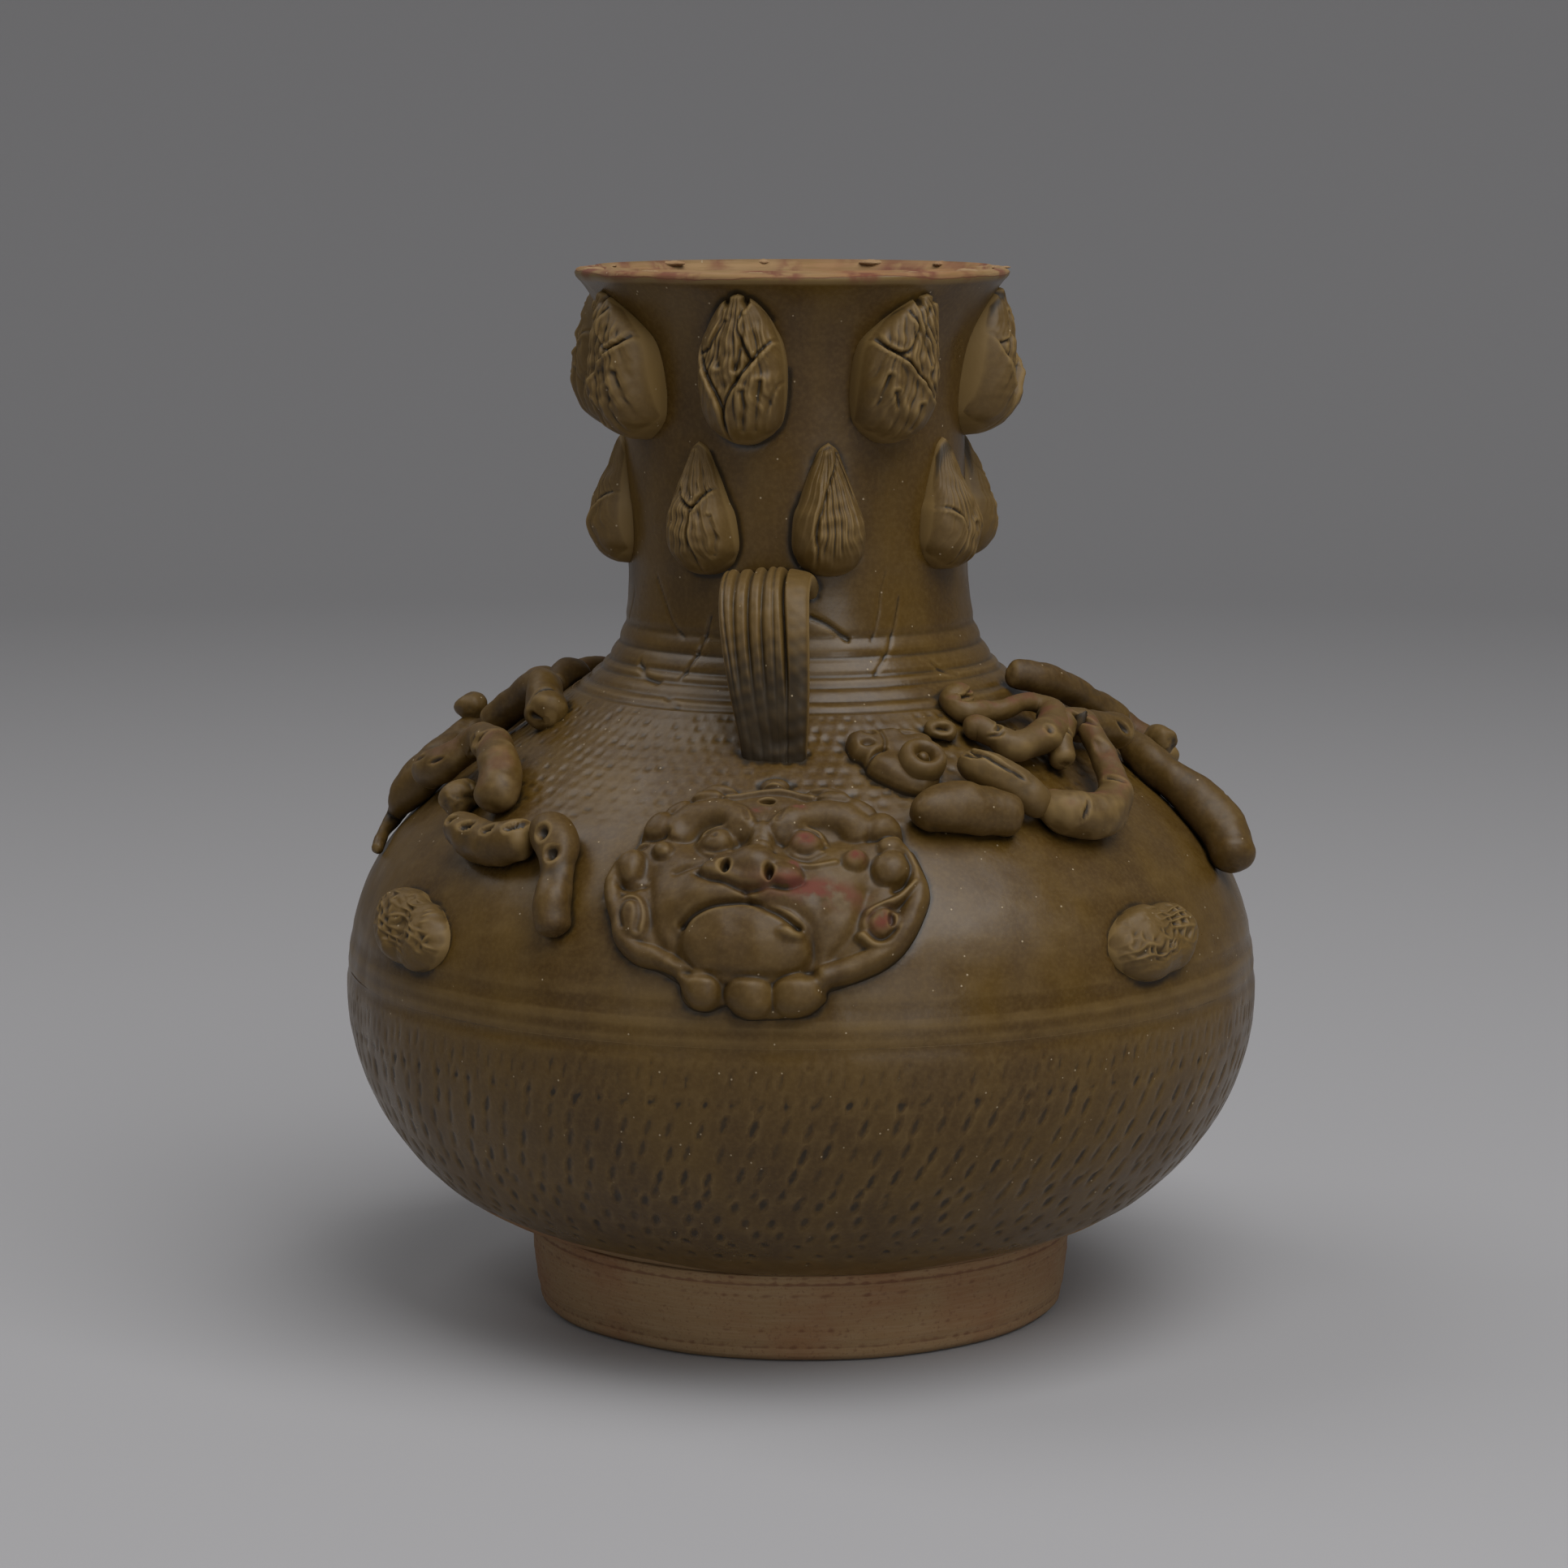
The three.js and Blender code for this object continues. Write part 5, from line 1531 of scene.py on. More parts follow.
def peanut_height(seed):
    half = PEANUT["length"] / 2
    broad = PEANUT["width"] / 2
    u, v = disc_grid(PEANUT_SIDE)
    part = np.clip(np.hypot(u, v), 0, 1)
    around = np.arctan2(v, u)
    spot = np.stack([np.cos(around), np.sin(around), around * 0], -1)
    reach = 1 / np.hypot(np.cos(around) / half, np.sin(around) / broad) * (1 + 0.04 * rumple(spot, 2.5, seed))
    reach *= 1 - 0.1 * fade(around - 1.3, 0.3) - 0.08 * fade(around + 1.4, 0.3)
    x, y = np.cos(around) * reach * part, np.sin(around) * reach * part
    waist = 1 - 0.24 * fade(x - 3, 5.5)
    lift = HIDDEN_LIFT + (PEANUT["relief"] - HIDDEN_LIFT) * waist * np.sqrt(np.clip(1 - part ** 2.6, 0, 1))
    spot = spots(x, y)
    bend = rumple(spot, 10.0, seed)
    across = y / waist / 3.1 + 0.5 * bend
    row = np.floor(across)
    step = x / 4.6 + 0.5 * (row % 2) + 0.5 * bend + 0.2 * rumple(spot, 5.0, seed + 3)
    net = np.maximum(np.abs(np.sin(np.pi * (across + 0.5))) ** 3, 0.9 * np.abs(np.cos(np.pi * step)) ** 4)
    worn = 0.25 + 0.75 * ease(y + 2.5 * bend, -6, -1)
    weak = 0.6 + 0.4 * rumple(spot, 7.0, seed + 5)
    lift += worn * weak * (1.2 * net - 0.6) * np.clip(1 - part ** 6, 0, 1)
    lift += 0.4 * rumple(spot, 6.0, seed + 9)
    return x, y, np.maximum(soften(lift, 1), HIDDEN_LIFT)


for side, turn in SIDES:
    for k, word in enumerate(("left", "right")):
        name = f"peanut_{side}_{word}"
        x, y, lift = peanut_height(PEANUT_SEED + k)
        at = PEANUT["angles"][k] + turn
        shell = press_sprig(name, x, y, lift, at, float(along(PEANUT["height"])), PEANUT["tilts"][k])
        settle(shell, "pale_glaze", name, material=pale_glaze, reach=0.6, laid_on=True)

# %% [markdown]
# ## Strap handles
# A strap was pulled, combed into ribs, bent from the neck down to the shoulder and pressed on
# with a thumb. Its width changes while its thickness stays, so it is laid out here as rings of
# points along the bend. The ribs are uneven, one split is deep, and all of them fade
# where the foot was pressed flat. Its lower part is darker: its glaze is thicker low down, where it
# ran, and painted shade is added there too.

# %% Strap handles
STRAP = {"top": 28.0, "bottom": 20.0, "thickness": 7.5, "slide": -2.4, "shift": 1.2}
STRAP_ROUTE = [
    (53, 240.5), (61, 243.5), (71, 245), (80.5, 242), (86.5, 234.5), (88.5, 224), (88.5, 212), (88, 203),
    (87, 195.5), (85.5, 188.5),
]
STRAP_SPLITS = [
    (-0.33, 0.03, 1.3), (-0.17, 0.028, 1.7), (-0.02, 0.03, 1.5), (0.1, 0.02, 0.6), (0.22, 0.022, 3.2),
    (-0.43, 0.016, 0.7),
]
STRAP_GLAZE_AND_SHADE = (0.28, 0.16)
THUMB = {"at": 0.84, "tall": 0.06, "wide": 0.3, "depth": 1.2}
STRAP_TOP_POINTS = 150
STRAP_UNDER_POINTS = 30


def strap_handle(name, turn):
    line = smooth_path(STRAP_ROUTE, 18)
    run = np.concatenate([[0], np.cumsum(np.hypot(*np.diff(line, axis=0).T))])
    way = np.gradient(line, run, axis=0)
    way /= np.linalg.norm(way, axis=1)[:, None]
    u = np.linspace(0, 1, len(line))
    width = STRAP["top"] + (STRAP["bottom"] - STRAP["top"]) * ease(u, 0.4, 1)
    top = np.linspace(-0.5, 0.5, STRAP_TOP_POINTS)
    under = np.linspace(0.5, -0.5, STRAP_UNDER_POINTS + 2)[1:-1]
    share = np.concatenate([top, under])
    on_top = np.arange(len(share)) < STRAP_TOP_POINTS
    rounded = 0.25 + 0.75 * np.sqrt(np.clip(1 - np.abs(share * 2) ** 7, 0, 1))
    side = turned(1.0, 0.0, turn + 90)
    half = STRAP["thickness"] / 2
    rings = []
    for i, (radius, height) in enumerate(line):
        ribbed = 1 - 0.88 * ease(u[i], 0.46, 0.72)
        crown = 0.5 * np.sin(share * 9 + 1)
        cut = np.zeros(len(share))
        for at, wide, deep in STRAP_SPLITS:
            drift = 0.012 * math.sin(9 * u[i] + 40 * at)
            cut += deep * fade(share - at - drift, wide)
        thumb = THUMB["depth"] * fade(u[i] - THUMB["at"], THUMB["tall"]) * fade(share, THUMB["wide"])
        above = (half + 0.4 + crown * ribbed - cut * ribbed - thumb) * rounded
        level = np.where(on_top, above, -half * rounded)
        level = level * math.sqrt(1 - (1 - min(i, len(line) - 1 - i, 5) / 5) ** 2 * 0.8)
        out = np.array([-way[i, 1], way[i, 0]])
        place = turned(radius + out[0] * level, height + out[1] * level, turn)
        slide = STRAP["shift"] + STRAP["slide"] * (1 - ease(u[i], 0.3, 0.95))
        rings.append(place + (share[:, None] * width[i] + slide) * side)
    points = np.stack(rings)
    uneven = 0.3 * rumple(points, 16.0, 51) + 0.12 * rumple(points, 5.0, 52)
    points += uneven[..., None] * turned(1.0, 0.0, turn)
    rings = [points[:1].mean(1), *points, points[-1:].mean(1)]
    return build(name, np.concatenate(rings), ring_faces(rings))


for side, turn in SIDES:
    name = f"strap_handle_{side}"
    strap = settle(strap_handle(name, turn), "pale_glaze", name, material=pale_glaze, laid_on=True)
    # The whole strap's glaze is set thicker, and its lower part darker still, for run glaze and painted
    # shade.
    upper = ease(read_points(strap.data, "co")[:, 2] / MM, 216, 236)
    darken(strap, STRAP_GLAZE_AND_SHADE[0] - STRAP_GLAZE_AND_SHADE[1] * upper)

# %% [markdown]
# ## Dragons, rolled coils laid on the shoulder
# Each dragon is built of hand-rolled coils of clay. A coil is a path with a girth, which is what
# Geometry Nodes sweeps well: the path comes in as a row of points that carry their girth, the
# tree lays a round section along it, and a noise presses it a little out of round.

# %% Geometry Nodes tree for rolled coils
COIL_SIDES = 56
COIL_STEPS = 14
COIL_WAVES = [(52.0, 1.5, 8.0), (150.0, 3.0, 1.3)]
UNEVEN = 0.65


def make_coil_tree():
    tree, given = start_tree("rolled coil", {"Sides": COIL_SIDES, "Uneven": UNEVEN, "Seed": 0.0})
    path = add(tree, "GeometryNodeMeshToCurve", {"Mesh": given["Geometry"]}).outputs[0]
    circle = {"Resolution": given["Sides"], "Radius": MM}
    section = add(tree, "GeometryNodeCurvePrimitiveCircle", circle).outputs[0]
    swept = add(tree, "GeometryNodeCurveToMesh", {
        "Curve": path, "Profile Curve": section, "Scale": named(tree, "girth"), "Fill Caps": True,
    }).outputs[0]
    place = tree.nodes.new("GeometryNodeInputPosition").outputs[0]
    seeded = add(tree, "ShaderNodeVectorMath", (place, given["Seed"]), operation="ADD").outputs[0]
    broad, fine = (
        calc(tree, "MULTIPLY", calc(tree, "SUBTRACT", noise(tree, seeded, scale, detail), 0.5), size * MM)
        for scale, detail, size in COIL_WAVES
    )
    push = calc(tree, "MULTIPLY", calc(tree, "ADD", broad, fine), given["Uneven"])
    return end_tree(tree, push_out(tree, swept, push), given["Material"])


coil_tree = make_coil_tree()
print("nodes in the coil tree:", len(coil_tree.nodes))

# %% [markdown]
# A coil's path is given by stations: the turn, the height, the lift off the wall and the girth.
# Between them runs the same smooth curve that the other paths use, and both ends are rounded. A
# stick or a nail then pressed ovals into some coils, each with a faint lip round it.

# %% Rolling a coil
DENT_LIP = 0.1


def roll_coil(name, stations, turn, seed, finish, uneven=UNEVEN):
    """A coil through stations of turn, height, lift and radius."""
    stations = np.array(stations, float)
    line = smooth_path(on_wall(stations[:, 0] + turn, along(stations[:, 1]), stations[:, 2]), COIL_STEPS)
    girth = smooth_path(np.stack([np.arange(len(stations)) * 10.0, stations[:, 3]], 1), COIL_STEPS)[:, 1]
    run = np.concatenate([[0], np.cumsum(np.linalg.norm(np.diff(line, axis=0), axis=1))])
    from_end = np.minimum(run, run[-1] - run) / (0.75 * girth)
    girth = girth * np.sqrt(1 - (1 - np.clip(from_end, 0.012, 1)) ** 2.4)
    mesh = bpy.data.meshes.new(name)
    edges = [(i, i + 1) for i in range(len(line) - 1)]
    mesh.from_pydata((leaned(line) * MM).tolist(), edges, [])
    write_value(mesh, "girth", girth)
    piece = put(name, mesh)
    apply_tree(piece, coil_tree, Sides=COIL_SIDES, Uneven=uneven, Seed=float(seed), Material=finish)
    piece.data.shade_smooth()
    return piece


def dent(piece, marks, turn=0.0):
    """Presses ovals into a piece, each by turn, height, width, height of the mark, depth and tilt."""
    points = read_points(piece.data, "co") / MM
    normals = read_points(piece.data, "normal")
    radius = np.hypot(points[:, 0], points[:, 1])
    angle = np.degrees(np.arctan2(points[:, 0], -points[:, 1]))
    outward = (points[:, 0] * normals[:, 0] + points[:, 1] * normals[:, 1]) / radius
    facing = ease(outward + normals[:, 2] * 0.6, 0.0, 0.5)
    for at, height, wide, tall, deep, tilt in marks:
        away = (angle - at - turn + HALF_TURN) % 360 - HALF_TURN
        share = oval(np.radians(away) * radius, points[:, 2] - height, 0, 0, wide, tall, tilt)
        lip = DENT_LIP * fade(np.sqrt(share) - 1.6, 0.4)
        points -= normals * (facing * (deep * np.exp(-(share ** 1.8)) - lip))[:, None]
    move_points(piece.data, points)


print("sides and steps of a coil:", COIL_SIDES, COIL_STEPS)

# %% [markdown]
# ### Fore part, middle and hind part
# The head lies beside the mask, the body runs under the glaze round the side, and the hind part
# comes out beside the other mask. The same stations are laid at the front and, half a turn on, at
# the back. The middle differs from side to side, because each was rolled by hand.

# %% Dragon stations
FORE = {
    "horn": [
        [35, 187, 7, 4], [36.3, 183.8, 9, 6], [38.7, 180.2, 10, 6.2], [41.4, 177.6, 9, 5.4],
        [43.6, 175, 7, 4.4], [45.3, 174, 4, 3],
    ],
    "foreleg_low": [
        [23.1, 175.6, 3, 4.5], [25.3, 175, 5, 6.8], [29, 175.3, 5.5, 7.6], [33, 174.7, 5.5, 7.5],
        [37, 173.5, 5, 7.2], [40.4, 171.6, 4, 6],
    ],
    "neck_coil": [
        [46.5, 176.3, 4, 5.4], [47.6, 171.8, 6, 7], [50.8, 169.6, 6.5, 7.4], [55, 169.2, 7, 7.2],
        [59, 171.6, 8.5, 6], [62.2, 176, 9.5, 5.2], [64.5, 181.2, 10.5, 4.9], [66.7, 186.1, 11.5, 4.8],
        [68, 189.8, 11.5, 4.8], [66, 191.1, 10.5, 4.6], [63, 189.8, 8.5, 4.5], [60, 186.8, 6.5, 4.4],
        [58.7, 183.2, 4.5, 4.2],
    ],
    "foreleg_high": [
        [52, 205.6, 1, 3.2], [48, 206, 1.4, 3.9], [44.5, 204.4, 1.8, 3.4], [46.2, 201, 3, 3],
        [50.9, 199.9, 4, 2.9], [55.3, 199, 5, 3.1], [61, 199.4, 6, 3.4], [65, 198, 7, 3.8],
        [65.6, 195.2, 8, 4.5], [62, 192.1, 8, 5.2], [55.7, 189.4, 7.6, 5.6], [48.5, 189.4, 6.5, 4.8],
        [46.5, 192.7, 6, 4.2], [44.6, 195.5, 5, 4], [42, 196.3, 3, 3.2],
    ],
    "brow": [[33.6, 198.2, 0.8, 2.6], [36.9, 197.6, 1.6, 3.6], [40.2, 196.8, 0.8, 2.8]],
}
HIND = {
    "hind_coil": [
        [-77, 170, 7, 5.6], [-72.4, 173.8, 8.5, 5.6], [-69.8, 177.3, 9, 5.1], [-68.7, 180.9, 9, 4.9],
        [-66, 183.2, 9, 5.1], [-58, 182.2, 9, 6], [-51.5, 178.9, 8, 6.8], [-48.7, 175, 6, 6.6],
        [-47.6, 171.1, 4, 6],
    ],
    "hind_knob": [[-56, 175, 3, 4.6], [-56.2, 171, 6, 5.4], [-56.4, 167.2, 8.2, 4.6]],
    "hind_leg": [
        [-50.4, 164.6, 5, 6], [-45.4, 162.8, 5.5, 7], [-38.8, 162.6, 5.5, 7.2], [-33.4, 165.4, 5.5, 6.5],
    ],
    "hind_foot": [
        [-34, 168, 5.5, 5.5], [-30.7, 166.6, 6, 6.4], [-27.8, 161.5, 5.6, 6.1], [-26.4, 154, 5, 5.6],
        [-25.4, 147.5, 4.4, 5.2], [-24.6, 142.6, 3.4, 4.6],
    ],
}
MIDDLE = {
    "dragon_right": {
        "body": [[71, 190.5, 6, 5.2], [78, 188, 8, 5.6], [84, 183.6, 9, 5.8]],
        "back": [
            [74, 209, 4, 4.5], [79, 204.5, 6.5, 5.4], [86, 199.5, 7.5, 5.5], [92, 194, 8.5, 5.2],
            [95, 189, 9, 5], [96.6, 184, 8.5, 4.8],
        ],
        "hip": [[96.5, 178.5, 9, 4.6], [94.2, 176.5, 12, 5.4], [91.5, 174.8, 13, 5.0]],
        "haunch": [
            [95.5, 184.5, 5.5, 4.6], [91.5, 181.5, 6, 5.6], [88.5, 177.5, 5.6, 6.2],
            [86.5, 171.5, 6.2, 7.1], [85.5, 165, 7.2, 7.3], [84.2, 157.5, 7.2, 7.6], [81.6, 151, 7, 7.8],
            [80, 147.3, 6.6, 7.4],
        ],
    },
    "dragon_left": {
        "body": [
            [-85, 186, 5, 5.4], [-81.5, 192, 7, 5.7], [-77, 197.5, 8, 5.5], [-72.5, 200, 7, 5.7],
            [-67.5, 198, 5, 6.6], [-61.5, 194.8, 2.6, 8.8],
        ],
        "back": [[-108, 202, 3, 4.5], [-102, 200.5, 4.5, 5], [-94, 199, 2.5, 4.5]],
        "hip": [[-90.5, 186.4, 11, 4.4], [-89, 184, 13.5, 5.3], [-87.6, 181.6, 14, 4.6]],
        "haunch": [
            [-93, 188, 7, 4.4], [-90.5, 184, 8, 4.8], [-87, 179, 7, 5.4], [-83, 174.5, 6.9, 6.5],
            [-80.5, 169, 6.7, 6.8], [-82, 163, 5.2, 5.4], [-84, 158, 3.6, 3.1], [-81, 154, 3, 2],
            [-78, 150, 2.2, 1.7],
        ],
    },
}
print("stations in the fore and the hind part:", sum(map(len, FORE.values())), sum(map(len, HIND.values())))

# %% [markdown]
# The coils differ in finish too. Those that stand proud are pale, the kiln reddened the tops of a
# few, and three are more crinkled than the rest. `DENTS` holds the ovals that were pressed in, by
# turn and height.

# %% Finish and dents of the coils
PALE = {"horn", "brow", "neck_coil", "hip", "hind_knob", "foreleg_high"}
RED_TOPS = {"foreleg_high": 0.5, "neck_coil": 0.4, "hind_coil": 0.25}
CRINKLED = {"brow": 0.8, "hip": 1.4, "hind_knob": 1.8}
DENTS = {
    "hind_leg": [
        (-48.0, 171.7, 1.9, 0.8, 3.0, 20), (-43.8, 171.2, 2.2, 0.85, 3.4, 20),
        (-39.2, 171.5, 2.2, 0.85, 3.4, 20), (-35.0, 173.2, 2.1, 0.85, 3.2, 20),
    ],
    "hind_foot": [(-29.7, 172.6, 2.1, 1.8, 3.4, 0), (-27.2, 167.2, 2.0, 1.7, 3.0, 0)],
    "hind_coil": [
        (-58.8, 186.9, 2.2, 2.6, 3.6, -12), (-61.6, 190.6, 2.6, 1.2, 3.0, 58),
        (-58.9, 191.8, 2.2, 1.2, 3.0, 58), (-59, 192.7, 2.5, 0.9, 1.8, 55),
        (-62.3, 191, 2.5, 0.9, 1.8, 60), (-65.4, 186.9, 1.9, 0.6, 1.1, 47),
        (-73.4, 182.9, 3.0, 0.6, 1.1, 21), (-69.2, 183.5, 1.9, 0.6, 1.1, 31),
    ],
    "horn": [
        (37.6, 192.8, 4.8, 0.8, 1.8, -38), (40.4, 188.6, 2.0, 0.6, 1.0, -42),
        (35.2, 194.7, 2.2, 0.7, 1.3, 5),
    ],
    "neck_coil": [
        (65.5, 200.1, 1.0, 2.0, 1.3, 35), (70.5, 199.2, 1.0, 2.0, 1.3, 35),
        (60.7, 196.9, 0.6, 2.2, 1.0, 35), (57.7, 186.8, 1.7, 1.2, 1.3, 0),
        (58.6, 184.4, 1.6, 0.9, 1.0, -30), (48.6, 177.3, 0.6, 3.0, 1.3, -30),
        (62.5, 192.5, 2.4, 2.0, 0.7, 0),
    ],
    "foreleg_high": [
        (47.6, 207.6, 4.0, 0.7, 1.4, 0), (50.2, 209.2, 3.0, 0.5, 0.9, 8),
        (55.0, 198.6, 1.4, 1.0, 0.9, 20), (46.5, 200.4, 2.6, 0.5, 0.9, 25),
        (45.2, 198.2, 2.2, 0.5, 0.8, 25),
    ],
    "brow": [(36.5, 199.9, 2.3, 1.3, 2.4, 0)],
    "body": [
        (79.2, 194.5, 1.0, 2.4, 1.8, 35), (-62.6, 197.3, 1.1, 1.6, 2.4, 0),
        (-59.1, 199.4, 1.1, 1.6, 2.4, 0), (-55.9, 201.3, 1.1, 1.6, 2.4, 0),
        (-53.9, 203.3, 1.1, 1.6, 2.4, 0), (-60, 203.8, 0.6, 3.2, 1.4, 12), (-64, 205, 0.6, 3.2, 1.2, 8),
        (-56.6, 204.6, 0.5, 1.8, 0.9, 15),
    ],
    "haunch": [(88, 172, 6.0, 0.5, 0.8, 0), (-86.5, 181, 0.6, 5.0, 1.0, 10)],
}
print("coils with dents:", ", ".join(DENTS))

# %% [markdown]
# Each dragon's head is a flat sprig cut into petals. Its eye is a ring with a lump in its hole,
# which is a turned shape like the jar itself, so it is made from a profile and rings.

# %% Dragon head and eye
HEAD = {"angle": 25.0, "height": 190.4, "relief": 4.6, "reach": 17, "side": 110}
HEAD_OUTLINE = [
    (-14.8, 6.9), (-13.3, 11.6), (-8.4, 13.2), (-2.3, 13.8), (6.8, 13.2), (13.0, 9.0), (14.0, 2.6),
    (12.5, -5.8), (9.0, -12.2), (4.5, -14.5), (1.0, -13.8), (-3.0, -11.8), (-7.2, -8.5), (-11.0, -4.2),
    (-11.6, 0.5), (-14.1, 2.6),
]
HEAD_GROOVES = [
    (0.7, 2.0, [(-11.4, -2.4), (-8.0, 0.6), (-4.4, 2.8)]),
    (0.6, 0.9, [(-4.4, 2.8), (-3.2, 7.0), (-4.0, 12.0)]),
    (0.6, 0.8, [(2.0, 12.5), (4.0, 9.6), (9.0, 9.0)]),
]
HEAD_HOLES = [(-7.2, 10.4, 2.1, 1.5, 1.7), (-8.9, 5.3, 2.0, 1.2, 1.4)]
EYE = {"angle": 28.2, "height": 187.9, "radius": 7.5, "hole": 2.7, "low": 3.5, "high": 9.6}


def dragon_head(name, turn):
    """A flat head cut into petals, with a punched brow and cheek."""
    u, v = disc_grid(HEAD["side"])
    x, y = u * HEAD["reach"], v * HEAD["reach"]
    inside = inside_of(x, y, HEAD_OUTLINE)
    rim = np.sqrt(np.clip(1 - np.clip(1 - inside / 3.5, 0, 1) ** 2, 0, 1))
    lift = HIDDEN_LIFT + (HEAD["relief"] - HIDDEN_LIFT) * np.where(inside > 0, rim, 0)
    lift += (inside > 0) * (1.6 * bell(x, y, -5.0, -4.0, 5, 4, -35) + 1.0 * bell(x, y, -9.5, 8.0, 4, 5))
    for width, deep, path in HEAD_GROOVES:
        lift -= deep * line_mark(x, y, width, path)
    for *place, deep in HEAD_HOLES:
        lift -= deep * punch(x, y, *place)
    lift += 0.3 * rumple(spots(x, y), 6.0, 61) * (inside > 1)
    distance = float(along(HEAD["height"]))
    return press_sprig(name, x, y, soften(np.maximum(lift, HIDDEN_LIFT), 2), HEAD["angle"] + turn, distance)


def dragon_eye(name, turn):
    """A ring with a lump in its hole, turned about the wall's normal."""
    low, high, hole, radius = EYE["low"], EYE["high"], EYE["hole"], EYE["radius"]
    profile = smooth_path([
        (radius * 0.98, low), (radius, high - 3), (radius - 1, high - 0.7), (radius - 2.4, high),
        (hole + 0.9, high - 0.6), (hole, high - 2.2), (hole - 0.5, high - 3.2), (hole - 1.4, high - 1.6),
        (0.3, high - 1.2),
    ], 5)
    distance = float(along(EYE["height"]))
    foot = on_wall(EYE["angle"] + turn, distance)
    out = on_wall(EYE["angle"] + turn, distance, 1.0) - foot
    side = turned(1.0, 0.0, EYE["angle"] + turn + 90)
    up = np.cross(out, side)
    around = np.linspace(0, 2 * np.pi, 64, endpoint=False)
    ring = np.cos(around)[:, None] * side + np.sin(around)[:, None] * up
    rings = [(foot + out * low)[None]] + [foot + ring * r + out * h for r, h in profile]
    rings.append((foot + out * profile[-1][1])[None])
    points = np.concatenate(rings)
    points += (0.2 * rumple(points, 7.0, 63))[:, None] * out
    return build(name, points, ring_faces(rings))


print("a dragon's eye stands off the wall by mm:", EYE["high"])

# %% [markdown]
# A round coil has no hollows of its own, so its glaze is set thicker by `ROUND_COIL`, or by the
# smaller `RED_COIL` on the coils whose tops the kiln reddened. Each dragon is then laid in the
# order of its parts, the hind part half a turn away from the fore part.

# %% Dragon coils
ROUND_COIL = 0.16
RED_COIL = 0.03
SEED_STEP = 3.7


def lay(name, key, stations, turn, seed):
    """One coil: rolled, dented, settled, and reddened where the kiln reached its top."""
    slot = "pale_glaze" if key in PALE else "glaze"
    finish = pale_glaze if key in PALE else glaze
    piece = roll_coil(name, stations, turn, seed, finish, CRINKLED.get(key, UNEVEN))
    if key in DENTS:
        dent(piece, DENTS[key], turn)
    settle(piece, slot, name, reach=1.1, laid_on=True)
    darken(piece, RED_COIL if key in RED_TOPS else ROUND_COIL)
    points = read_points(piece.data, "co") / MM
    upward = ease(read_points(piece.data, "normal")[:, 2], 0.2, 0.8)
    red = RED_TOPS.get(key, 0.0) * upward * np.clip(0.5 + rumple(points, 12.0, int(seed)), 0, 1)
    write_value(piece.data, "rubbed", red)


for dragon, fore_turn in (("dragon_right", 0.0), ("dragon_left", HALF_TURN)):
    hind_turn = HALF_TURN - fore_turn
    parts = [(key, stations, fore_turn) for key, stations in FORE.items()]
    parts += [(key, stations, hind_turn) for key, stations in HIND.items()]
    parts += [(key, stations, 0.0) for key, stations in MIDDLE[dragon].items()]
    for seed, (key, stations, turn) in enumerate(parts):
        lay(f"{dragon}_{key}", key, stations, turn, seed * SEED_STEP)
    settle(dragon_head(f"{dragon}_head", fore_turn), "glaze", f"{dragon}_head", material=glaze, laid_on=True)
    settle(dragon_eye(f"{dragon}_eye", fore_turn), "glaze", f"{dragon}_eye", material=glaze, laid_on=True)

# %% [markdown]
# ## Glaze pools and painted shade round every sprig
# Where a sprig or a coil meets the wall, the wet glaze gathered in the corner and fired dark, and
# the darkening there also paints the shade that falls in that corner. The wall dips a little there
# too, from the tool that pressed the sprig on. The distance of every wall point from the nearest
# meeting gives both.

# %% Pools and painted shade on the wall
POOL_AND_SHADE_REACH = 1.5
POOL_AND_SHADE_DEPTH = 0.45
DIP_REACH = 1.4
DIP_DEPTH = 0.3
CELL = 6
FAR = 99.0


def pool_and_shade_round(shell, corners):
    """Darkens the wall near these places, for pooled glaze and painted shade, and dips it. Cells keep the
    slow search to points close by.
    """
    mesh = shell.data
    points = read_points(mesh, "co") / MM
    normals = read_points(mesh, "normal")
    outside = np.abs(off_wall(points)) < 2.5
    near = KDTree(len(corners))
    for i, corner in enumerate(corners):
        near.insert(corner, i)
    near.balance()
    gap = np.full(len(points), FAR)
    cells = {tuple(cell) for cell in np.floor(corners / CELL).astype(int).tolist()}
    around = [(i, j, k) for i in (-1, 0, 1) for j in (-1, 0, 1) for k in (-1, 0, 1)]
    cells = {(a + i, b + j, c + k) for a, b, c in cells for i, j, k in around}
    homes = np.floor(points / CELL).astype(int).tolist()
    for index in np.nonzero(outside)[0]:
        if tuple(homes[index]) in cells:
            gap[index] = near.find(points[index])[2]
    # pooled glaze and painted shade in the corner round each sprig
    darken(shell, POOL_AND_SHADE_DEPTH * fade(gap, POOL_AND_SHADE_REACH))
    points -= normals * (DIP_DEPTH * fade(gap, DIP_REACH))[:, None]
    move_points(mesh, points)
    print(shell.name, "wall points near a sprig:", int((gap < 2 * POOL_AND_SHADE_REACH).sum()))


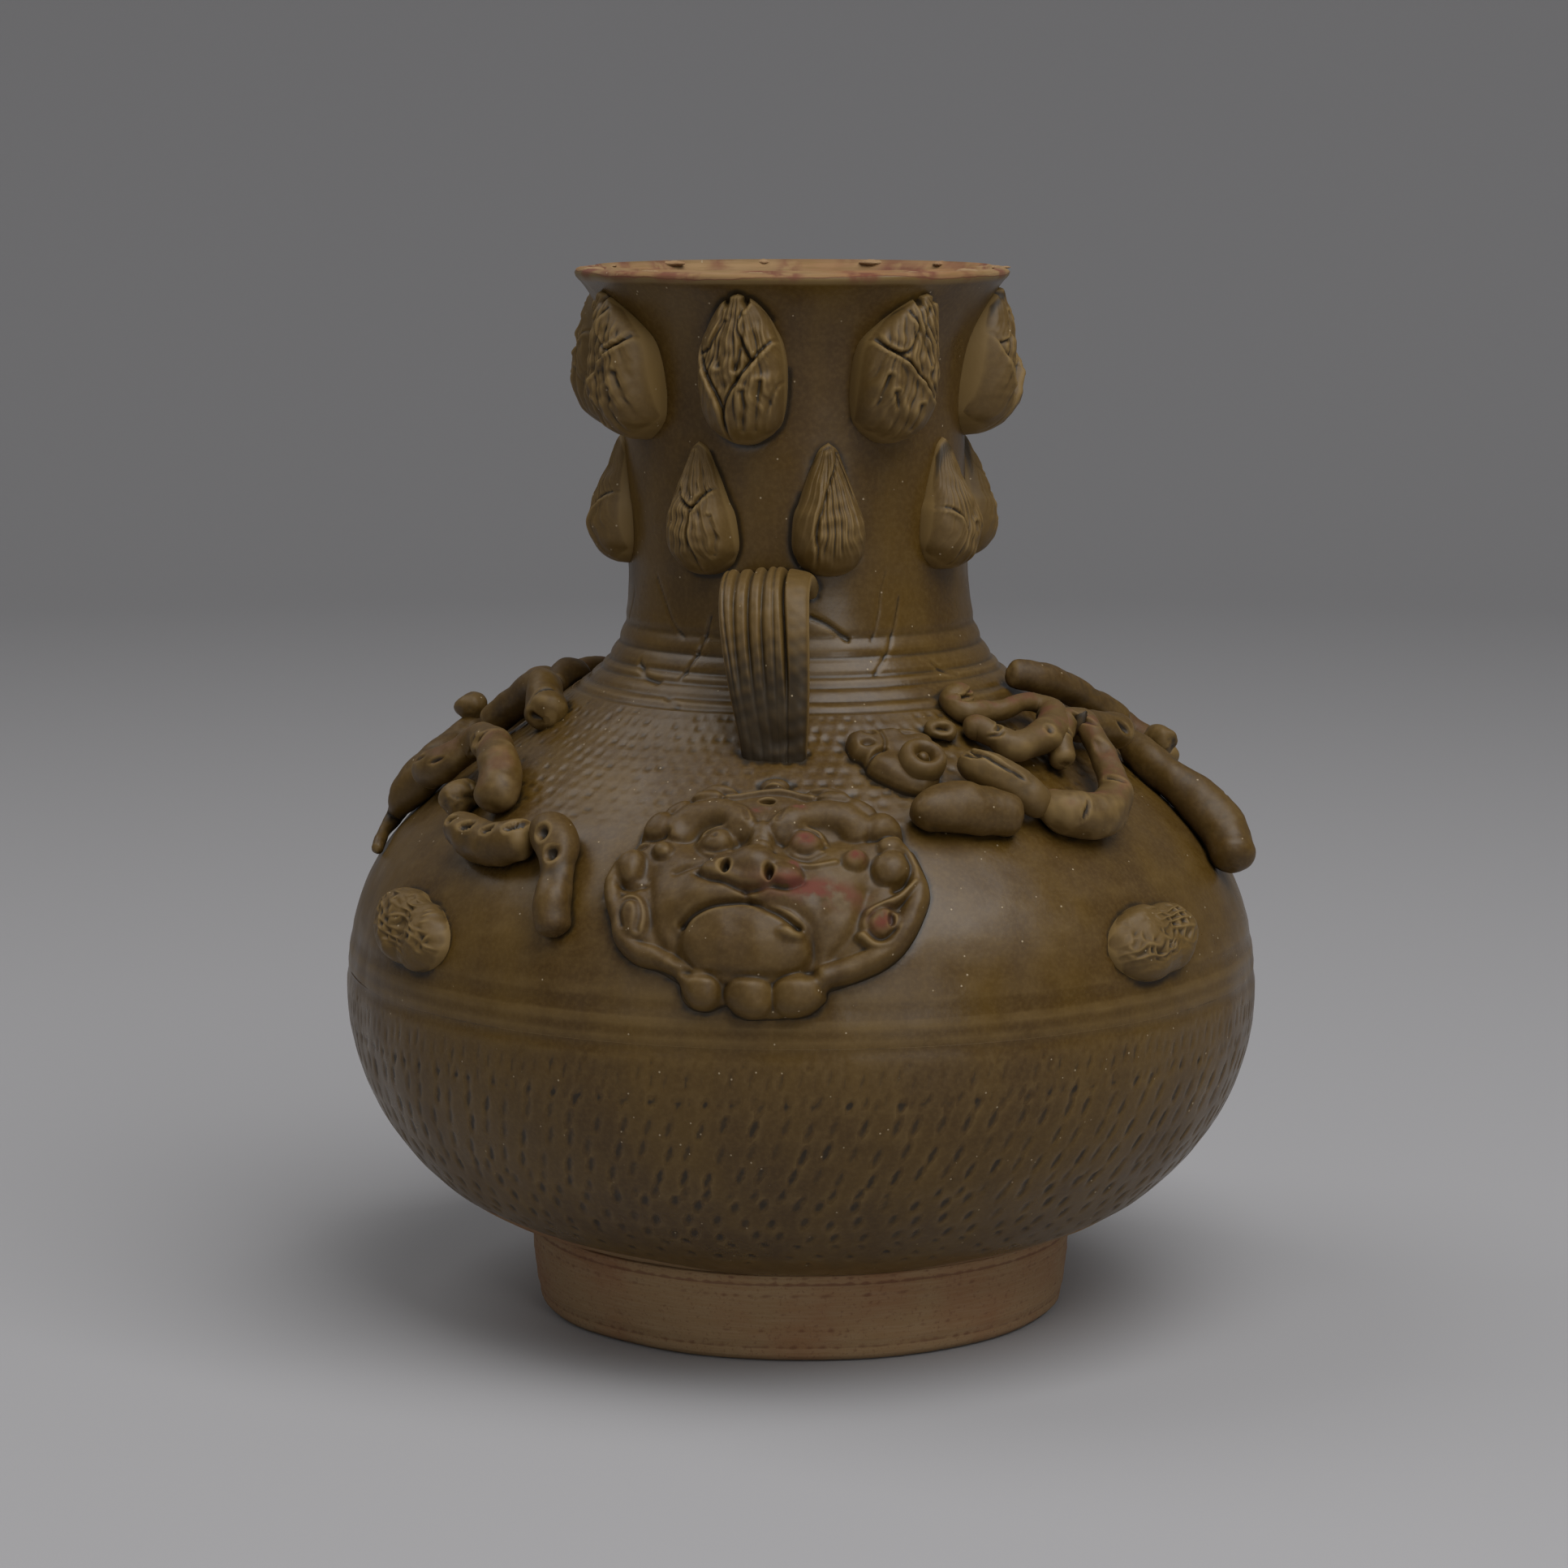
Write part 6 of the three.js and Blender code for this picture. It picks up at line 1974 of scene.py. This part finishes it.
corners = np.concatenate(met)
for shell in (neck, shoulder, bowl):
    pool_and_shade_round(shell, corners)

# %% [markdown]
# ## Scars round the mouth
# Lumps of clay kept another pot off the rim in the kiln. They broke away and left low, ragged
# scars. They repeat round the rim with chance in their size, so a small tree sets them.

# %% Geometry Nodes tree for the scars
SCARS = 11
SCAR_RING = LIP_RADIUS - 5.6
SCAR_SIZE = 0.0042
SCAR_ROUGHNESS = 0.0009
SCAR_SEED = 4


def make_scar_tree():
    tree, given = start_tree("kiln scars", {"Size": SCAR_SIZE, "Seed": SCAR_SEED})
    lump = add(tree, "GeometryNodeMeshIcoSphere", {"Radius": given["Size"], "Subdivisions": 5}).outputs[0]
    size = add(tree, "FunctionNodeRandomValue", data_type="FLOAT_VECTOR")
    size.inputs["Min"].default_value = (0.5, 0.5, 0.12)
    size.inputs["Max"].default_value = (1.5, 0.9, 0.26)
    tree.links.new(given["Seed"], size.inputs["Seed"])
    spread = add(tree, "GeometryNodeInstanceOnPoints", {
        "Points": given["Geometry"], "Instance": lump, "Scale": size.outputs["Value"],
    }).outputs[0]
    whole = add(tree, "GeometryNodeRealizeInstances", {"Geometry": spread}).outputs[0]
    place = tree.nodes.new("GeometryNodeInputPosition").outputs[0]
    rough = calc(tree, "SUBTRACT", noise(tree, place, 420.0, 4.0), 0.5)
    push = calc(tree, "MULTIPLY", rough, SCAR_ROUGHNESS)
    return end_tree(tree, push_out(tree, whole, push), given["Material"])


def make_scars():
    dice = np.random.default_rng(8)
    angle = np.arange(SCARS) * 360 / SCARS + dice.uniform(-9, 9, SCARS)
    points = turned(SCAR_RING + dice.uniform(-1.0, 0.8, SCARS), np.full(SCARS, HEIGHT - 0.5), angle)
    mesh = bpy.data.meshes.new("mouth_scars")
    mesh.from_pydata((leaned(points) * MM).tolist(), [], [])
    scars = put("mouth_scars", mesh)
    apply_tree(scars, make_scar_tree(), Size=SCAR_SIZE, Seed=SCAR_SEED, Material=bare_clay)
    scars.data.shade_smooth()
    return scars


settle(make_scars(), "bare_clay")
